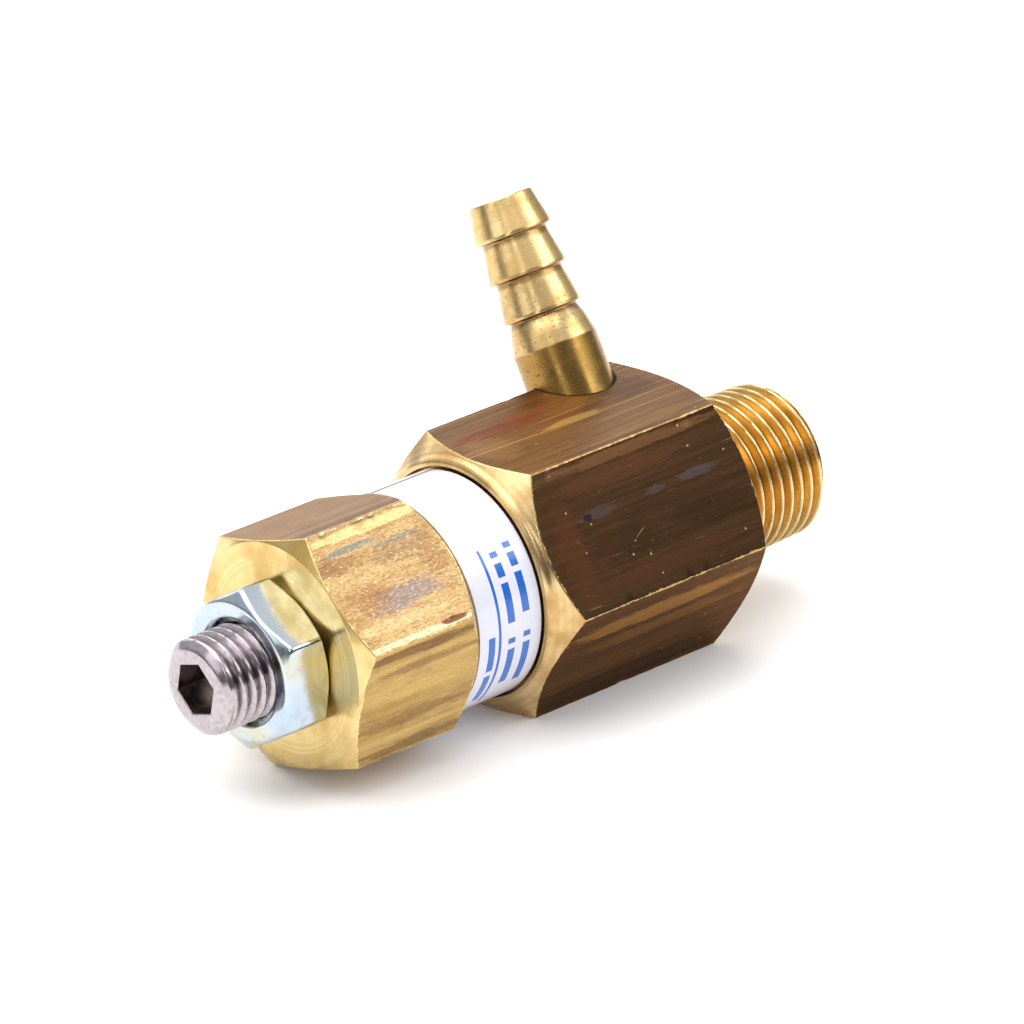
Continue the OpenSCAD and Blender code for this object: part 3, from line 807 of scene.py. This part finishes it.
def barb_brass():
    """Turned brass of the barb: pale on its ridges, olive and pitted at its root."""
    s = Shade("barb_brass", roughness=0.24)
    up, out = math.cos(BARB_LEAN), math.sin(BARB_LEAN)
    along = s.add(s.times(s.axis("Z"), up), s.times(s.axis("Y"), out))
    rings = s.noise(along, 3.4, 3, 0.7)
    blotch = s.noise(s.mm, 0.35, 4, 0.6)
    pits = s.noise(s.mm, 2.2, 3, 0.65)
    dirty = s.step(s.noise(s.stretch(0.16, 0.16, 0.16, (3, 9, 2)), 1.0, 2, 0.5), 0.44, 0.6)
    rel_x = s.minus(s.axis("X"), BARB_X)
    rel_y = s.minus(s.axis("Y"), s.times(along, out))
    worst_x, worst_y = 0.74, 0.67
    rough_side = s.minus(s.times(rel_y, worst_y), s.times(rel_x, worst_x))
    pitted = s.times(s.step(rough_side, -0.5, 3.5), s.step(along, 40, 30))
    dirty = s.most(s.times(dirty, 0.6), pitted)
    s.start(s.step(blotch, 0.35, 0.7), (222, 196, 142), (206, 172, 110))
    s.lay(s.step(rings, 0.5, 0.7), (164, 124, 66), 0.35)
    base = s.step(along, BARB_CREASE + 0.15, BARB_CREASE - 0.15)
    s.lay(base, (154, 118, 52), 0.85)
    s.lay(dirty, (148, 108, 66), 0.35)
    # Painted shade and dirt: a dark brown band just under each ridge, where the neck lies in the
    # ridge's shadow and dirt gathers.
    below = s.minus(BARB_FIRST_RIDGE - BARB_RIDGE_LAND, along)
    below = s.math("FLOORED_MODULO", below, BARB_RIDGE_PITCH)
    reach = s.scaled(blotch, 1.6, 0.1)
    ridge_shade_and_dirt = s.step(s.minus(below, reach), 0.35, -0.35)
    ridge_shade_and_dirt = s.times(ridge_shade_and_dirt, s.step(along, BARB_CREASE, BARB_CREASE + 1))
    ridge_shade_and_dirt = s.times(ridge_shade_and_dirt, s.step(along, BARB_FIRST_RIDGE - 0.1, BARB_FIRST_RIDGE - 0.3))
    s.lay(ridge_shade_and_dirt, (112, 74, 34), 0.6)
    spots = s.times(s.step(pits, 0.6, 0.66), s.scaled(dirty, 0.75, 0.1))
    s.lay(spots, (84, 54, 30))
    height = s.minus(s.times(rings, 0.5), spots)
    return s.finish(s.step(blotch, 0.3, 0.7, 0.2, 0.32), s.bump(height, 0.03, 0.6))


def rubber():
    s = Shade("black_rubber", metallic=0.0, roughness=0.55)
    grain = s.noise(s.mm, 3.0, 3, 0.6)
    s.start(grain, (14, 14, 14), (34, 33, 32))
    return s.finish(s.step(grain, 0.3, 0.7, 0.45, 0.65), s.bump(grain, 0.01, 0.4))


def plain_metal(name, light, dark, roughness):
    """Ground or drawn metal of an inner piece."""
    s = Shade(name, roughness=roughness)
    grain = s.noise(s.stretch(3, 0.6, 0.6), 1.0, 4, 0.6)
    s.start(grain, light, dark)
    return s.finish(s.step(grain, 0.3, 0.7, roughness - 0.06, roughness + 0.1),
                    s.bump(grain, 0.01, 0.4))


def ptfe():
    s = Shade("white_ptfe", metallic=0.0, roughness=0.4)
    grain = s.noise(s.mm, 0.8, 3, 0.6)
    s.start(grain, (232, 230, 224), (214, 212, 206))
    return s.finish(None, s.bump(grain, 0.01, 0.3))


def label_paper():
    s = Shade("label_white", metallic=0.0, roughness=0.22, Coat_Weight=0.4, Coat_Roughness=0.08)
    grain = s.noise(s.mm, 0.5, 3, 0.5)
    s.start(grain, (224, 225, 238), (215, 216, 231))
    return s.finish(None, s.bump(grain, 0.02, 0.2))


def label_ink():
    s = Shade("label_blue_ink", metallic=0.0, roughness=0.22, Coat_Weight=0.4, Coat_Roughness=0.08)
    grain = s.noise(s.mm, 6, 3, 0.6)
    s.start(s.step(grain, 0.35, 0.75), (20, 90, 184), (44, 112, 198))
    return s.finish()


def label_edge_shade():
    """Cut edge of the label, painted dark grey as the shadow line along the overlap seam."""
    s = Shade("label_edge_painted_shade", metallic=0.0, roughness=0.5)
    grain = s.noise(s.mm, 2, 3, 0.6)
    s.start(grain, (96, 94, 104), (140, 138, 148))
    return s.finish()


def sealant():
    s = Shade("dark_sealant", metallic=0.0, roughness=0.6, Specular_IOR_Level=0.15)
    grain = s.noise(s.mm, 2.0, 3, 0.6)
    s.start(grain, (20, 15, 12), (52, 38, 28))
    return s.finish(0.65, s.bump(grain, 0.03, 0.5))


BRASS_TURNED = turned_brass("body_turned_brass", (222, 194, 142), (178, 140, 86))
BONNET_TURNED = turned_brass("bonnet_turned_brass", (228, 202, 144), (194, 162, 96))
BRASS_BORE = turned_brass("bored_brass", (190, 150, 86), (120, 86, 44), roughness=0.32)
BODY_FLATS = body_flats()
BONNET_FLATS = bonnet_flats()
PIPE_THREAD = pipe_thread_brass()
ZINC = zinc()
NICKEL = nickel()
BARB_BRASS = barb_brass()
RUBBER = rubber()
STAINLESS = plain_metal("ground_stainless", (196, 196, 198), (150, 150, 153), 0.22)
SPRING_STEEL = plain_metal("spring_steel", (96, 94, 96), (52, 52, 56), 0.34)
INNER_BRASS = plain_metal("inner_brass", (214, 178, 110), (170, 130, 70), 0.28)
PTFE = ptfe()
PAPER = label_paper()
INK = label_ink()
LABEL_EDGE_SHADE = label_edge_shade()
SEALANT = sealant()


# ---- Valve body ------------------------------------------------------------------------

def make_body():
    cols = Columns(BODY_APOTHEM, corner_round=0.28)
    hexagon = cols.hexagon()
    corner = BODY_APOTHEM / math.cos(SECTOR / 2)
    front_slope, rear_slope = 0.83, 0.62
    front_arc = FRONT_CORNER - front_slope * (corner - hexagon)
    rear_arc = REAR_CORNER + rear_slope * (corner - hexagon)
    ring_back = FRONT_CORNER - front_slope * (corner - RING_R)
    shoulder_r = corner + REAR_CORNER / rear_slope
    depth = 1.25
    neck_r = PIPE_CREST_R - depth + 0.4
    thread_start, thread_end = 1.5, PIPE_THREAD_END
    full_start = thread_start + 1.7
    crest_start_r = PIPE_CREST_R + PIPE_TAPER * (thread_end - full_start)
    tip_r = PIPE_CREST_R - depth - 0.05
    pocket_end, pocket_r = 2.9, 7.05
    chamber_end, chamber_r = -2.2, 9.5
    guide_end, guide_r = BONNET_STOP + 12.3, 11.6
    female_end, female_r = BONNET_STOP + 11.3, 13.15
    relief_end, relief_r = BONNET_STOP + RELIEF_LENGTH, 14.0
    points = profile(
        "turned",
        (BODY_FRONT, MOUTH_R + 0.25, 0.12, 2),
        (BODY_FRONT + 0.12, RING_R - 0.75, 0.2, 2),
        (ring_back - 0.45, RING_R - 0.35, 0.15, 2),
        (ring_back, RING_R, 0.12, 8),
        "flats",
        (front_arc, hexagon, 0.16, 110),
        "turned",
        (rear_arc, hexagon, 0.16, 6),
        (0.0, shoulder_r, 0.12, 8),
        "thread",
        (0.0, neck_r, 0.15, 3),
        (thread_start, neck_r, 0.0, 18),
        (full_start, crest_start_r, 0.0, 160),
        (thread_end, PIPE_CREST_R, 0.0, 14),
        (INLET_END, tip_r, 0.15, 6),
        "bore",
        (INLET_END, INLET_BORE_R + 0.6, 0.12, 2),
        (INLET_END - 0.6, INLET_BORE_R, 0.12, 6),
        (pocket_end, INLET_BORE_R),
        (pocket_end, pocket_r, 0.0, 2),
        (chamber_end, pocket_r),
        (chamber_end, chamber_r, 0.0, 8),
        (guide_end, chamber_r),
        (guide_end, guide_r),
        (female_end, guide_r),
        (female_end, female_r, 0.0, 4),
        (relief_end, female_r),
        (relief_end, relief_r),
        (BONNET_STOP, relief_r),
        (BONNET_STOP, MOUTH_R, 0.0, 2),
    )
    materials = {
        "turned": BRASS_TURNED, "flats": BODY_FLATS, "thread": PIPE_THREAD, "bore": BRASS_BORE,
    }

    marks = nicks(3, 20, FRONT_CORNER + 1.5, REAR_CORNER - 1.5)

    def shape(x, r, a, skins):
        crest = PIPE_CREST_R + PIPE_TAPER * (thread_end - x)
        groove = thread_radius(x, a, crest, PIPE_PITCH, depth, 0.11, 0.08, 0.35)
        r = np.where(rows_of(skins, "thread") & (x > thread_start), np.minimum(r, groove), r)
        return x, dent(x, r, cols, skins, marks)

    body = lathe("relief_valve_body", cols, points, materials, shape=shape, worn=(4, 5))
    cut_outlet(body)
    return body


def outlet_frame(points):
    """From a lathe's own axis (+X) to the barb's axis, in mm."""
    s = points[:, 0:1]
    side = points[:, 1:2]
    across = points[:, 2:3]
    axis = np.array([[0.0, math.sin(BARB_LEAN), math.cos(BARB_LEAN)]])
    along_x = np.array([[1.0, 0.0, 0.0]])
    third = np.cross(axis, along_x)
    return np.array([[BARB_X, 0, 0]]) + s * axis + side * along_x + across * third


def cut_outlet(body):
    """Cuts the stepped outlet hole through the corner of the body."""
    start, end, passage_r, axis_r, gap = 6.5, 24.0, 3.5, 0.01, 0.1
    points = profile(
        "bore",
        (start, axis_r),
        (start, passage_r),
        (BARB_SHANK_END - gap, passage_r),
        (BARB_SHANK_END - gap, BARB_SHANK_R + gap),
        (BARB_ROOT_BOTTOM, BARB_SHANK_R + gap),
        (BARB_ROOT_BOTTOM, BARB_SOCKET_R),
        (end, BARB_SOCKET_R),
        (end, axis_r),
    )
    cutter = lathe("cutter", RoundColumns(64), points, {"bore": BRASS_BORE},
                   closed=False, place=outlet_frame)
    cut = body.modifiers.new("outlet", "BOOLEAN")
    cut.operation = "DIFFERENCE"
    cut.solver = "EXACT"
    cut.object = cutter
    graph = bpy.context.evaluated_depsgraph_get()
    mesh = bpy.data.meshes.new_from_object(body.evaluated_get(graph))
    body.modifiers.clear()
    body.data = mesh
    bpy.data.objects.remove(cutter)
    recalculate(body)


# ---- Bonnet ----------------------------------------------------------------------------

def make_bonnet():
    cols = Columns(BONNET_APOTHEM, BONNET_TURN, corner_round=0.28)
    hexagon = cols.hexagon()
    corner = BONNET_APOTHEM / math.cos(SECTOR / 2)
    face_r = BONNET_APOTHEM - 0.17
    slope = 0.54
    front_arc = BONNET_FRONT + slope * (hexagon - face_r)
    rear_arc = BONNET_REAR_CORNER + (corner - hexagon)
    neck_start = BONNET_REAR_CORNER + corner - NECK_R
    relief_end = BONNET_STOP + RELIEF_LENGTH
    relief_r, thread_r, chamfer_r = 12.0, 13.0, 12.2
    spring_room_start = BONNET_FRONT + 9.95
    points = profile(
        "turned",
        (BONNET_FRONT, SCREW_HOLE_R + 0.5, 0.1, 14),
        (BONNET_FRONT, face_r, 0.1, 6),
        "flats",
        (front_arc, hexagon, 0.16, 70),
        "turned",
        (rear_arc, hexagon, 0.12, 6),
        (neck_start, NECK_R, 0.1, 4),
        (BONNET_STOP, NECK_R, 0.1),
        "bore",
        (BONNET_STOP, relief_r, 0.1),
        (relief_end, relief_r, 0.1),
        (relief_end + 1, thread_r, 0.1, 4),
        (BONNET_END - 0.8, thread_r, 0.1),
        (BONNET_END, chamfer_r, 0.1),
        (BONNET_END, SPRING_ROOM_R, 0.1, 6),
        (spring_room_start, SPRING_ROOM_R, 0.1, 2),
        (spring_room_start, SCREW_HOLE_R, 0.1, 4),
        (BONNET_FRONT + 0.5, SCREW_HOLE_R, 0.1),
    )
    materials = {"turned": BONNET_TURNED, "flats": BONNET_FLATS, "bore": BRASS_BORE}
    marks = nicks(8, 16, BONNET_FRONT + 2.5, BONNET_REAR_CORNER - 1.0)

    def shape(x, r, a, skins):
        return x, dent(x, r, cols, skins, marks)

    return lathe("relief_valve_bonnet", cols, points, materials, shape=shape, worn=(2, 3))


# ---- Lock nut and adjusting screw --------------------------------------------------------

def make_nut():
    cols = Columns(NUT_APOTHEM, NUT_TURN, corner_round=0.8, cuts=16)
    hexagon = cols.hexagon()
    face_r = 0.95 * NUT_APOTHEM
    slope = math.tan(math.radians(30))
    front_arc = NUT_FRONT + slope * (hexagon - face_r)
    rear_arc = NUT_REAR - slope * (hexagon - face_r)
    points = profile(
        "zinc",
        (NUT_FRONT, SCREW_HOLE_R + 0.9, 0.2, 5),
        (NUT_FRONT, face_r, 0.35, 5),
        (front_arc, hexagon, 0.5, 14),
        (rear_arc, hexagon, 0.4, 5),
        (NUT_REAR, face_r, 0.3, 4),
        (NUT_REAR, SCREW_HOLE_R + 0.7, 0.1, 2),
        (NUT_REAR - 0.7, SCREW_HOLE_R, 0.1, 8),
        (NUT_FRONT + 0.9, SCREW_HOLE_R, 0.1, 2),
    )
    return lathe("zinc_lock_nut", cols, points, {"zinc": ZINC})


def make_screw():
    cols = Columns(SOCKET_APOTHEM, SOCKET_TURN, corner_round=0.06, cuts=10)
    socket = cols.hexagon()
    bottom = SCREW_FRONT + SOCKET_DEPTH
    thread_end = SCREW_TIP - 2
    depth = 0.86
    points = profile(
        "nickel",
        (bottom + 1.6, 0.05, 0.0, 3),
        (bottom, SOCKET_APOTHEM - 0.15),
        (bottom, socket, 0.0, 12),
        (SCREW_FRONT + 0.1, socket, 0.1, 2),
        (SCREW_FRONT, socket + 0.18, 0.1, 8),
        (SCREW_FRONT, SCREW_R - 1.3, 0.5, 4),
        "thread",
        (SCREW_FRONT + 0.9, SCREW_R, 0.3, 330),
        (thread_end - 0.6, SCREW_R, 0.0, 6),
        "nickel",
        (thread_end, SCREW_R - depth, 0.1),
        (thread_end, 4.5, 0.1, 3),
        (SCREW_TIP, 4.5, 0.2, 4),
        (SCREW_TIP, 0.05),
    )

    def shape(x, r, a, skins):
        groove = thread_radius(x, a, SCREW_R, SCREW_PITCH, depth, 0.09, 0.08, 0.15)
        fade = np.clip((x - SCREW_FRONT - 0.7) / 1.0, 0, 1)
        groove = SCREW_R - (SCREW_R - groove) * fade
        return x, np.where(rows_of(skins, "thread"), np.minimum(r, groove), r)

    return lathe("socket_adjusting_screw", cols, points,
                 {"nickel": NICKEL, "thread": NICKEL}, closed=False, shape=shape)


# ---- Hose barb and its seal ---------------------------------------------------------------

def make_barb():
    ridge_r = 5.24
    ridges = []
    for i in range(3):
        top = BARB_FIRST_RIDGE - i * BARB_RIDGE_PITCH
        neck_r = 4.36 + 0.05 * i
        ridges += [
            (top, ridge_r, 0.12, 2),
            (top - BARB_RIDGE_LAND, ridge_r, 0.08, 3),
            (top - BARB_RIDGE_LAND - 0.15, neck_r, 0.25, 8),
        ]
    points = profile(
        "barb",
        (BARB_TIP, BARB_BORE_R + 0.15, 0.1, 3),
        (BARB_TIP, ridge_r - 0.97, 0.22, 10),
        *ridges,
        (26.4, BARB_ROOT_R - 0.46, 1.4, 2),
        (BARB_CREASE, BARB_ROOT_R, 0.12, 6),
        (BARB_ROOT_BOTTOM, BARB_ROOT_R),
        (BARB_ROOT_BOTTOM, BARB_SHANK_R, 0.0, 3),
        (BARB_SHANK_END + 0.5, BARB_SHANK_R),
        (BARB_SHANK_END, BARB_SHANK_R - 0.5),
        (BARB_SHANK_END, BARB_BORE_R, 0.0, 10),
        (BARB_TIP - 0.15, BARB_BORE_R, 0.1),
    )
    return lathe("brass_hose_barb", RoundColumns(112), points, {"barb": BARB_BRASS},
                 place=outlet_frame)


def make_seal():
    """Irregular bead of sealant where the barb's root enters the corner of the body."""
    rng = random.Random(7)
    around, sides = 160, 8
    corner = BODY_APOTHEM / math.cos(SECTOR / 2)
    mean_r = (BARB_ROOT_R + BARB_SOCKET_R) / 2
    wobble = [(rng.uniform(0, 6.28), rng.uniform(0.02, 0.06)) for _ in range(6)]
    verts = []
    for i in range(around):
        t = 2 * math.pi * i / around
        swell = sum(size * math.sin((k + 2) * t + start) for k, (start, size) in enumerate(wobble))
        section = 0.13 + 0.5 * max(swell, -0.12)
        s = corner - 0.05 - abs(mean_r * math.sin(t)) * math.tan(SECTOR / 2)
        for k in range(sides):
            w = 2 * math.pi * k / sides
            r = mean_r + section * math.cos(w)
            verts.append((s + section * math.sin(w), r * math.cos(t), r * math.sin(t)))
    obj = add_mesh("barb_sealant_bead", outlet_frame(np.array(verts)),
                   ring_faces(around, sides), [SEALANT])
    recalculate(obj)
    return obj


# ---- Label -----------------------------------------------------------------------------------

def make_label():
    """White wrap with an overlap seam and generic blue bars in place of print."""
    x_low, x_high = label_low[0], label_high[0]
    paper, ink, cut_edge = 0, 1, 2
    thick, gap, glue = 0.11, 0.02, 0.01
    seam, lift_angle = math.radians(65), math.radians(2)
    total = 2 * math.pi + math.radians(6)
    # Bars: lowest and highest X, first and last angle in degrees
    bars = [(-44.3, -43.84, 137, 226)]
    for low, high, stretches in (
        (-42.65, -41.45, [(140, 143), (146, 153), (156, 176), (184, 187), (190, 212)]),
        (-40.1, -38.9, [(137.5, 140.5), (143, 150), (153, 173), (183, 186), (189, 214)]),
        (-46.0, -44.9, [(180, 199), (202, 221)]),
    ):
        bars += [(low, high, a, b) for a, b in stretches]
    xs = sorted({x_low, x_high, *np.linspace(x_low, x_high, 12),
                 *[b[0] for b in bars], *[b[1] for b in bars]})
    turn = sorted({0.0, total, *np.linspace(0, total, 181),
                   *[(math.radians(b[k]) - seam) % (2 * math.pi) for b in bars for k in (2, 3)]})

    def lift(t):
        """Height of the wrap over its own start, reached along a short slope."""
        start = 2 * math.pi - lift_angle
        s = min(max((t - start) / lift_angle, 0), 1)
        return (thick + glue) * s * s * (3 - 2 * s)

    verts, faces, face_material = [], [], []
    for layer in (0, 1):
        for t in turn:
            r = NECK_R + gap + lift(t) + layer * thick
            a = seam + t
            for x in xs:
                verts.append((x, r * math.cos(a), r * math.sin(a)))
    n, m = len(turn), len(xs)

    def at(layer, i, j):
        return layer * n * m + i * m + j

    for i in range(n - 1):
        mid_a = math.degrees(seam + (turn[i] + turn[i + 1]) / 2) % 360
        for j in range(m - 1):
            mid_x = (xs[j] + xs[j + 1]) / 2
            faces.append((at(0, i, j), at(0, i, j + 1), at(0, i + 1, j + 1), at(0, i + 1, j)))
            face_material.append(paper)
            faces.append((at(1, i, j), at(1, i + 1, j), at(1, i + 1, j + 1), at(1, i, j + 1)))
            printed = any(lo < mid_x < hi and a0 < mid_a < a1 for lo, hi, a0, a1 in bars)
            face_material.append(ink if printed else paper)
    for i in range(n - 1):
        for j in (0, m - 1):
            faces.append((at(0, i, j), at(0, i + 1, j), at(1, i + 1, j), at(1, i, j)))
            face_material.append(paper)
    # The cut edges of the wrap carry the painted shade of the seam line.
    for j in range(m - 1):
        for i in (0, n - 1):
            faces.append((at(0, i, j), at(0, i, j + 1), at(1, i, j + 1), at(1, i, j)))
            face_material.append(cut_edge)
    obj = add_mesh("wrapped_label", verts, faces, [PAPER, INK, LABEL_EDGE_SHADE], face_material)
    recalculate(obj)
    return obj


# ---- Main spring, in two halves ---------------------------------------------------------------

CAD_WIRE_R = 1.6
WIRE_R = 1.56
GROUND_R = 1.48
COIL_R = 6.9
COIL_TURNS = 4.25
FLAT_TURNS = 0.75
SPRING_START = spring_low[0] + GROUND_R
SPRING_END = spring_high[0] - GROUND_R
FLAT_RISE = 0.9 * 2 * CAD_WIRE_R * FLAT_TURNS


def coil_height(turn):
    """X of the wire's centre after a number of turns: flat end coils, an even middle."""
    if turn < FLAT_TURNS:
        return SPRING_START + FLAT_RISE * turn / FLAT_TURNS
    if turn > COIL_TURNS - FLAT_TURNS:
        return SPRING_END - FLAT_RISE * (COIL_TURNS - turn) / FLAT_TURNS
    middle = (turn - FLAT_TURNS) / (COIL_TURNS - 2 * FLAT_TURNS)
    return SPRING_START + FLAT_RISE + middle * (SPRING_END - SPRING_START - 2 * FLAT_RISE)


def make_spring_half(name, first, last):
    """Closed tube along the coil between two turns; its ends are ground flat at the plates."""
    sides, steps = 14, 90
    verts, faces = [], []
    for i in range(steps + 1):
        turn = first + (last - first) * i / steps
        around = 2 * math.pi * turn
        for k in range(sides):
            tilt = 2 * math.pi * k / sides
            r = COIL_R + WIRE_R * math.cos(tilt)
            x = coil_height(turn) + WIRE_R * math.sin(tilt)
            verts.append((x, r * math.cos(around), r * math.sin(around)))
    for i in range(steps):
        for k in range(sides):
            a, b = i * sides + k, i * sides + (k + 1) % sides
            faces.append((a, b, b + sides, a + sides))
    faces.append(tuple(range(sides - 1, -1, -1)))
    faces.append(tuple(steps * sides + k for k in range(sides)))
    obj = add_mesh(name, verts, faces, [SPRING_STEEL])
    recalculate(obj)
    return obj


# ---- Assembly ----------------------------------------------------------------------------------

CAD_MATERIALS = {
    "bonnet_oring": RUBBER, "guide_oring": RUBBER, "seat_oring": RUBBER, "piston_oring": RUBBER,
    "guide_bush": INNER_BRASS, "port_cage": INNER_BRASS,
    "valve_seat": STAINLESS, "ball": STAINLESS, "piston": STAINLESS,
    "lower_spring_plate": STAINLESS, "upper_spring_plate": STAINLESS,
    "spring_plate_clip": SPRING_STEEL,
    "piston_backup_ring": PTFE,
}
for node_name, material in CAD_MATERIALS.items():
    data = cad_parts[node_name].data
    data.materials.clear()
    data.materials.append(material)

for piece, body, node_name, slot_name in (
    (make_body(), "housing", "valve_body", "body_brass"),
    (make_bonnet(), "housing", "bonnet", "bonnet_brass"),
    (make_nut(), "locking_nut", "lock_nut", "zinc_plate"),
    (make_screw(), "adjuster", "adjusting_screw", "screw_steel"),
    (make_barb(), "housing", "hose_barb", "barb_brass"),
    (make_seal(), "housing", "barb_seal", "sealant"),
    (make_label(), "housing", "label", "label_white"),
):
    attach(piece, body)
    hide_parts(node_name)

middle_turn = COIL_TURNS / 2
for piece_name, turns, bodies, stretch in (
    ("main_spring_front_coils", (0, middle_turn), ("spring_seat", "housing"),
     (FLAT_TURNS, middle_turn)),
    ("main_spring_rear_coils", (middle_turn, COIL_TURNS), ("housing", "poppet"),
     (middle_turn, COIL_TURNS - FLAT_TURNS)),
):
    coils = make_spring_half(piece_name, *turns)
    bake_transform(coils)
    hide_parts("main_spring")


# ---- Floor, light and camera ---------------------------------------------------------------------

def make_floor():
    half, z = 3000.0, -BODY_APOTHEM - 0.02
    s = Shade("pale_floor", metallic=0.0, roughness=0.9, Emission_Strength=0.06)
    s.colour = (0.93, 0.925, 0.92, 1)
    material = s.finish()
    corners = [(-half, -half, z), (half, -half, z), (half, half, z), (-half, half, z)]
    add_mesh("floor", corners, [(0, 1, 2, 3)], [material])


def area_light(name, location, target, size, power, colour=(1, 1, 1)):
    data = bpy.data.lights.new(name, "AREA")
    data.shape = "RECTANGLE"
    data.size, data.size_y = size
    data.energy = power
    data.color = colour
    obj = bpy.data.objects.new(name, data)
    obj.location = location
    obj.rotation_euler = (Vector(target) - Vector(location)).to_track_quat("-Z", "Y").to_euler()
    bpy.context.scene.collection.objects.link(obj)


def make_camera():
    azimuth, elevation, roll = math.radians(42.31), math.radians(24.4), math.radians(-1.07)
    distance = 0.99695
    target = Vector((-0.02802, 0, 0.00697))
    forward = Vector((math.sin(azimuth) * math.cos(elevation),
                      math.cos(azimuth) * math.cos(elevation), -math.sin(elevation)))
    right = Vector((math.cos(azimuth), -math.sin(azimuth), 0))
    up = right.cross(forward)
    right, up = (math.cos(roll) * right + math.sin(roll) * up,
                 math.cos(roll) * up - math.sin(roll) * right)
    data = bpy.data.cameras.new("camera")
    data.sensor_width = 36
    data.lens = 274.9
    data.clip_start, data.clip_end = 0.05, 20
    obj = bpy.data.objects.new("camera", data)
    turn = Matrix((right, up, -forward)).transposed().to_4x4()
    obj.matrix_world = Matrix.Translation(target - distance * forward) @ turn
    bpy.context.scene.collection.objects.link(obj)
    bpy.context.scene.camera = obj


def make_world():
    """Soft surround: bright overhead, dim near the horizon and dimmest behind the camera."""
    brightest = (0.14, 0.34, 0.93)
    world = bpy.data.worlds.new("studio")
    world.use_nodes = True
    bpy.context.scene.world = world
    nodes, links = world.node_tree.nodes, world.node_tree.links
    coord = nodes.new("ShaderNodeTexCoord")
    dot = nodes.new("ShaderNodeVectorMath")
    dot.operation = "DOT_PRODUCT"
    dot.inputs[1].default_value = brightest
    links.new(coord.outputs["Generated"], dot.inputs[0])
    ramp = nodes.new("ShaderNodeMapRange")
    ramp.interpolation_type = "SMOOTHSTEP"
    ramp.inputs["From Min"].default_value = 0.0
    ramp.inputs["From Max"].default_value = 0.75
    ramp.inputs["To Min"].default_value = 0.16
    ramp.inputs["To Max"].default_value = 1.0
    links.new(dot.outputs["Value"], ramp.inputs["Value"])
    back = nodes["Background"]
    back.inputs["Color"].default_value = (1.0, 1.0, 1.0, 1)
    links.new(ramp.outputs["Result"], back.inputs["Strength"])


make_floor()
make_world()
area_light("top", (-0.22, 0.15, 0.85), (-0.02, 0, 0), (1.1, 1.1), 8.5)
area_light("right", (0.46, -0.62, 0.62), (-0.04, 0, 0), (0.85, 0.4), 3.0)
area_light("back", (0.1, 0.95, 0.35), (0, 0, 0), (0.9, 0.4), 1.2)
area_light("left", (-0.87, -0.5, 0.52), (-0.05, 0, 0), (0.16, 0.5), 0.8)
area_light("far_left", (-0.95, 0.12, 0.4), (-0.05, 0, 0), (0.5, 0.5), 0.9)
make_camera()
bpy.context.scene.view_settings.view_transform = "Standard"
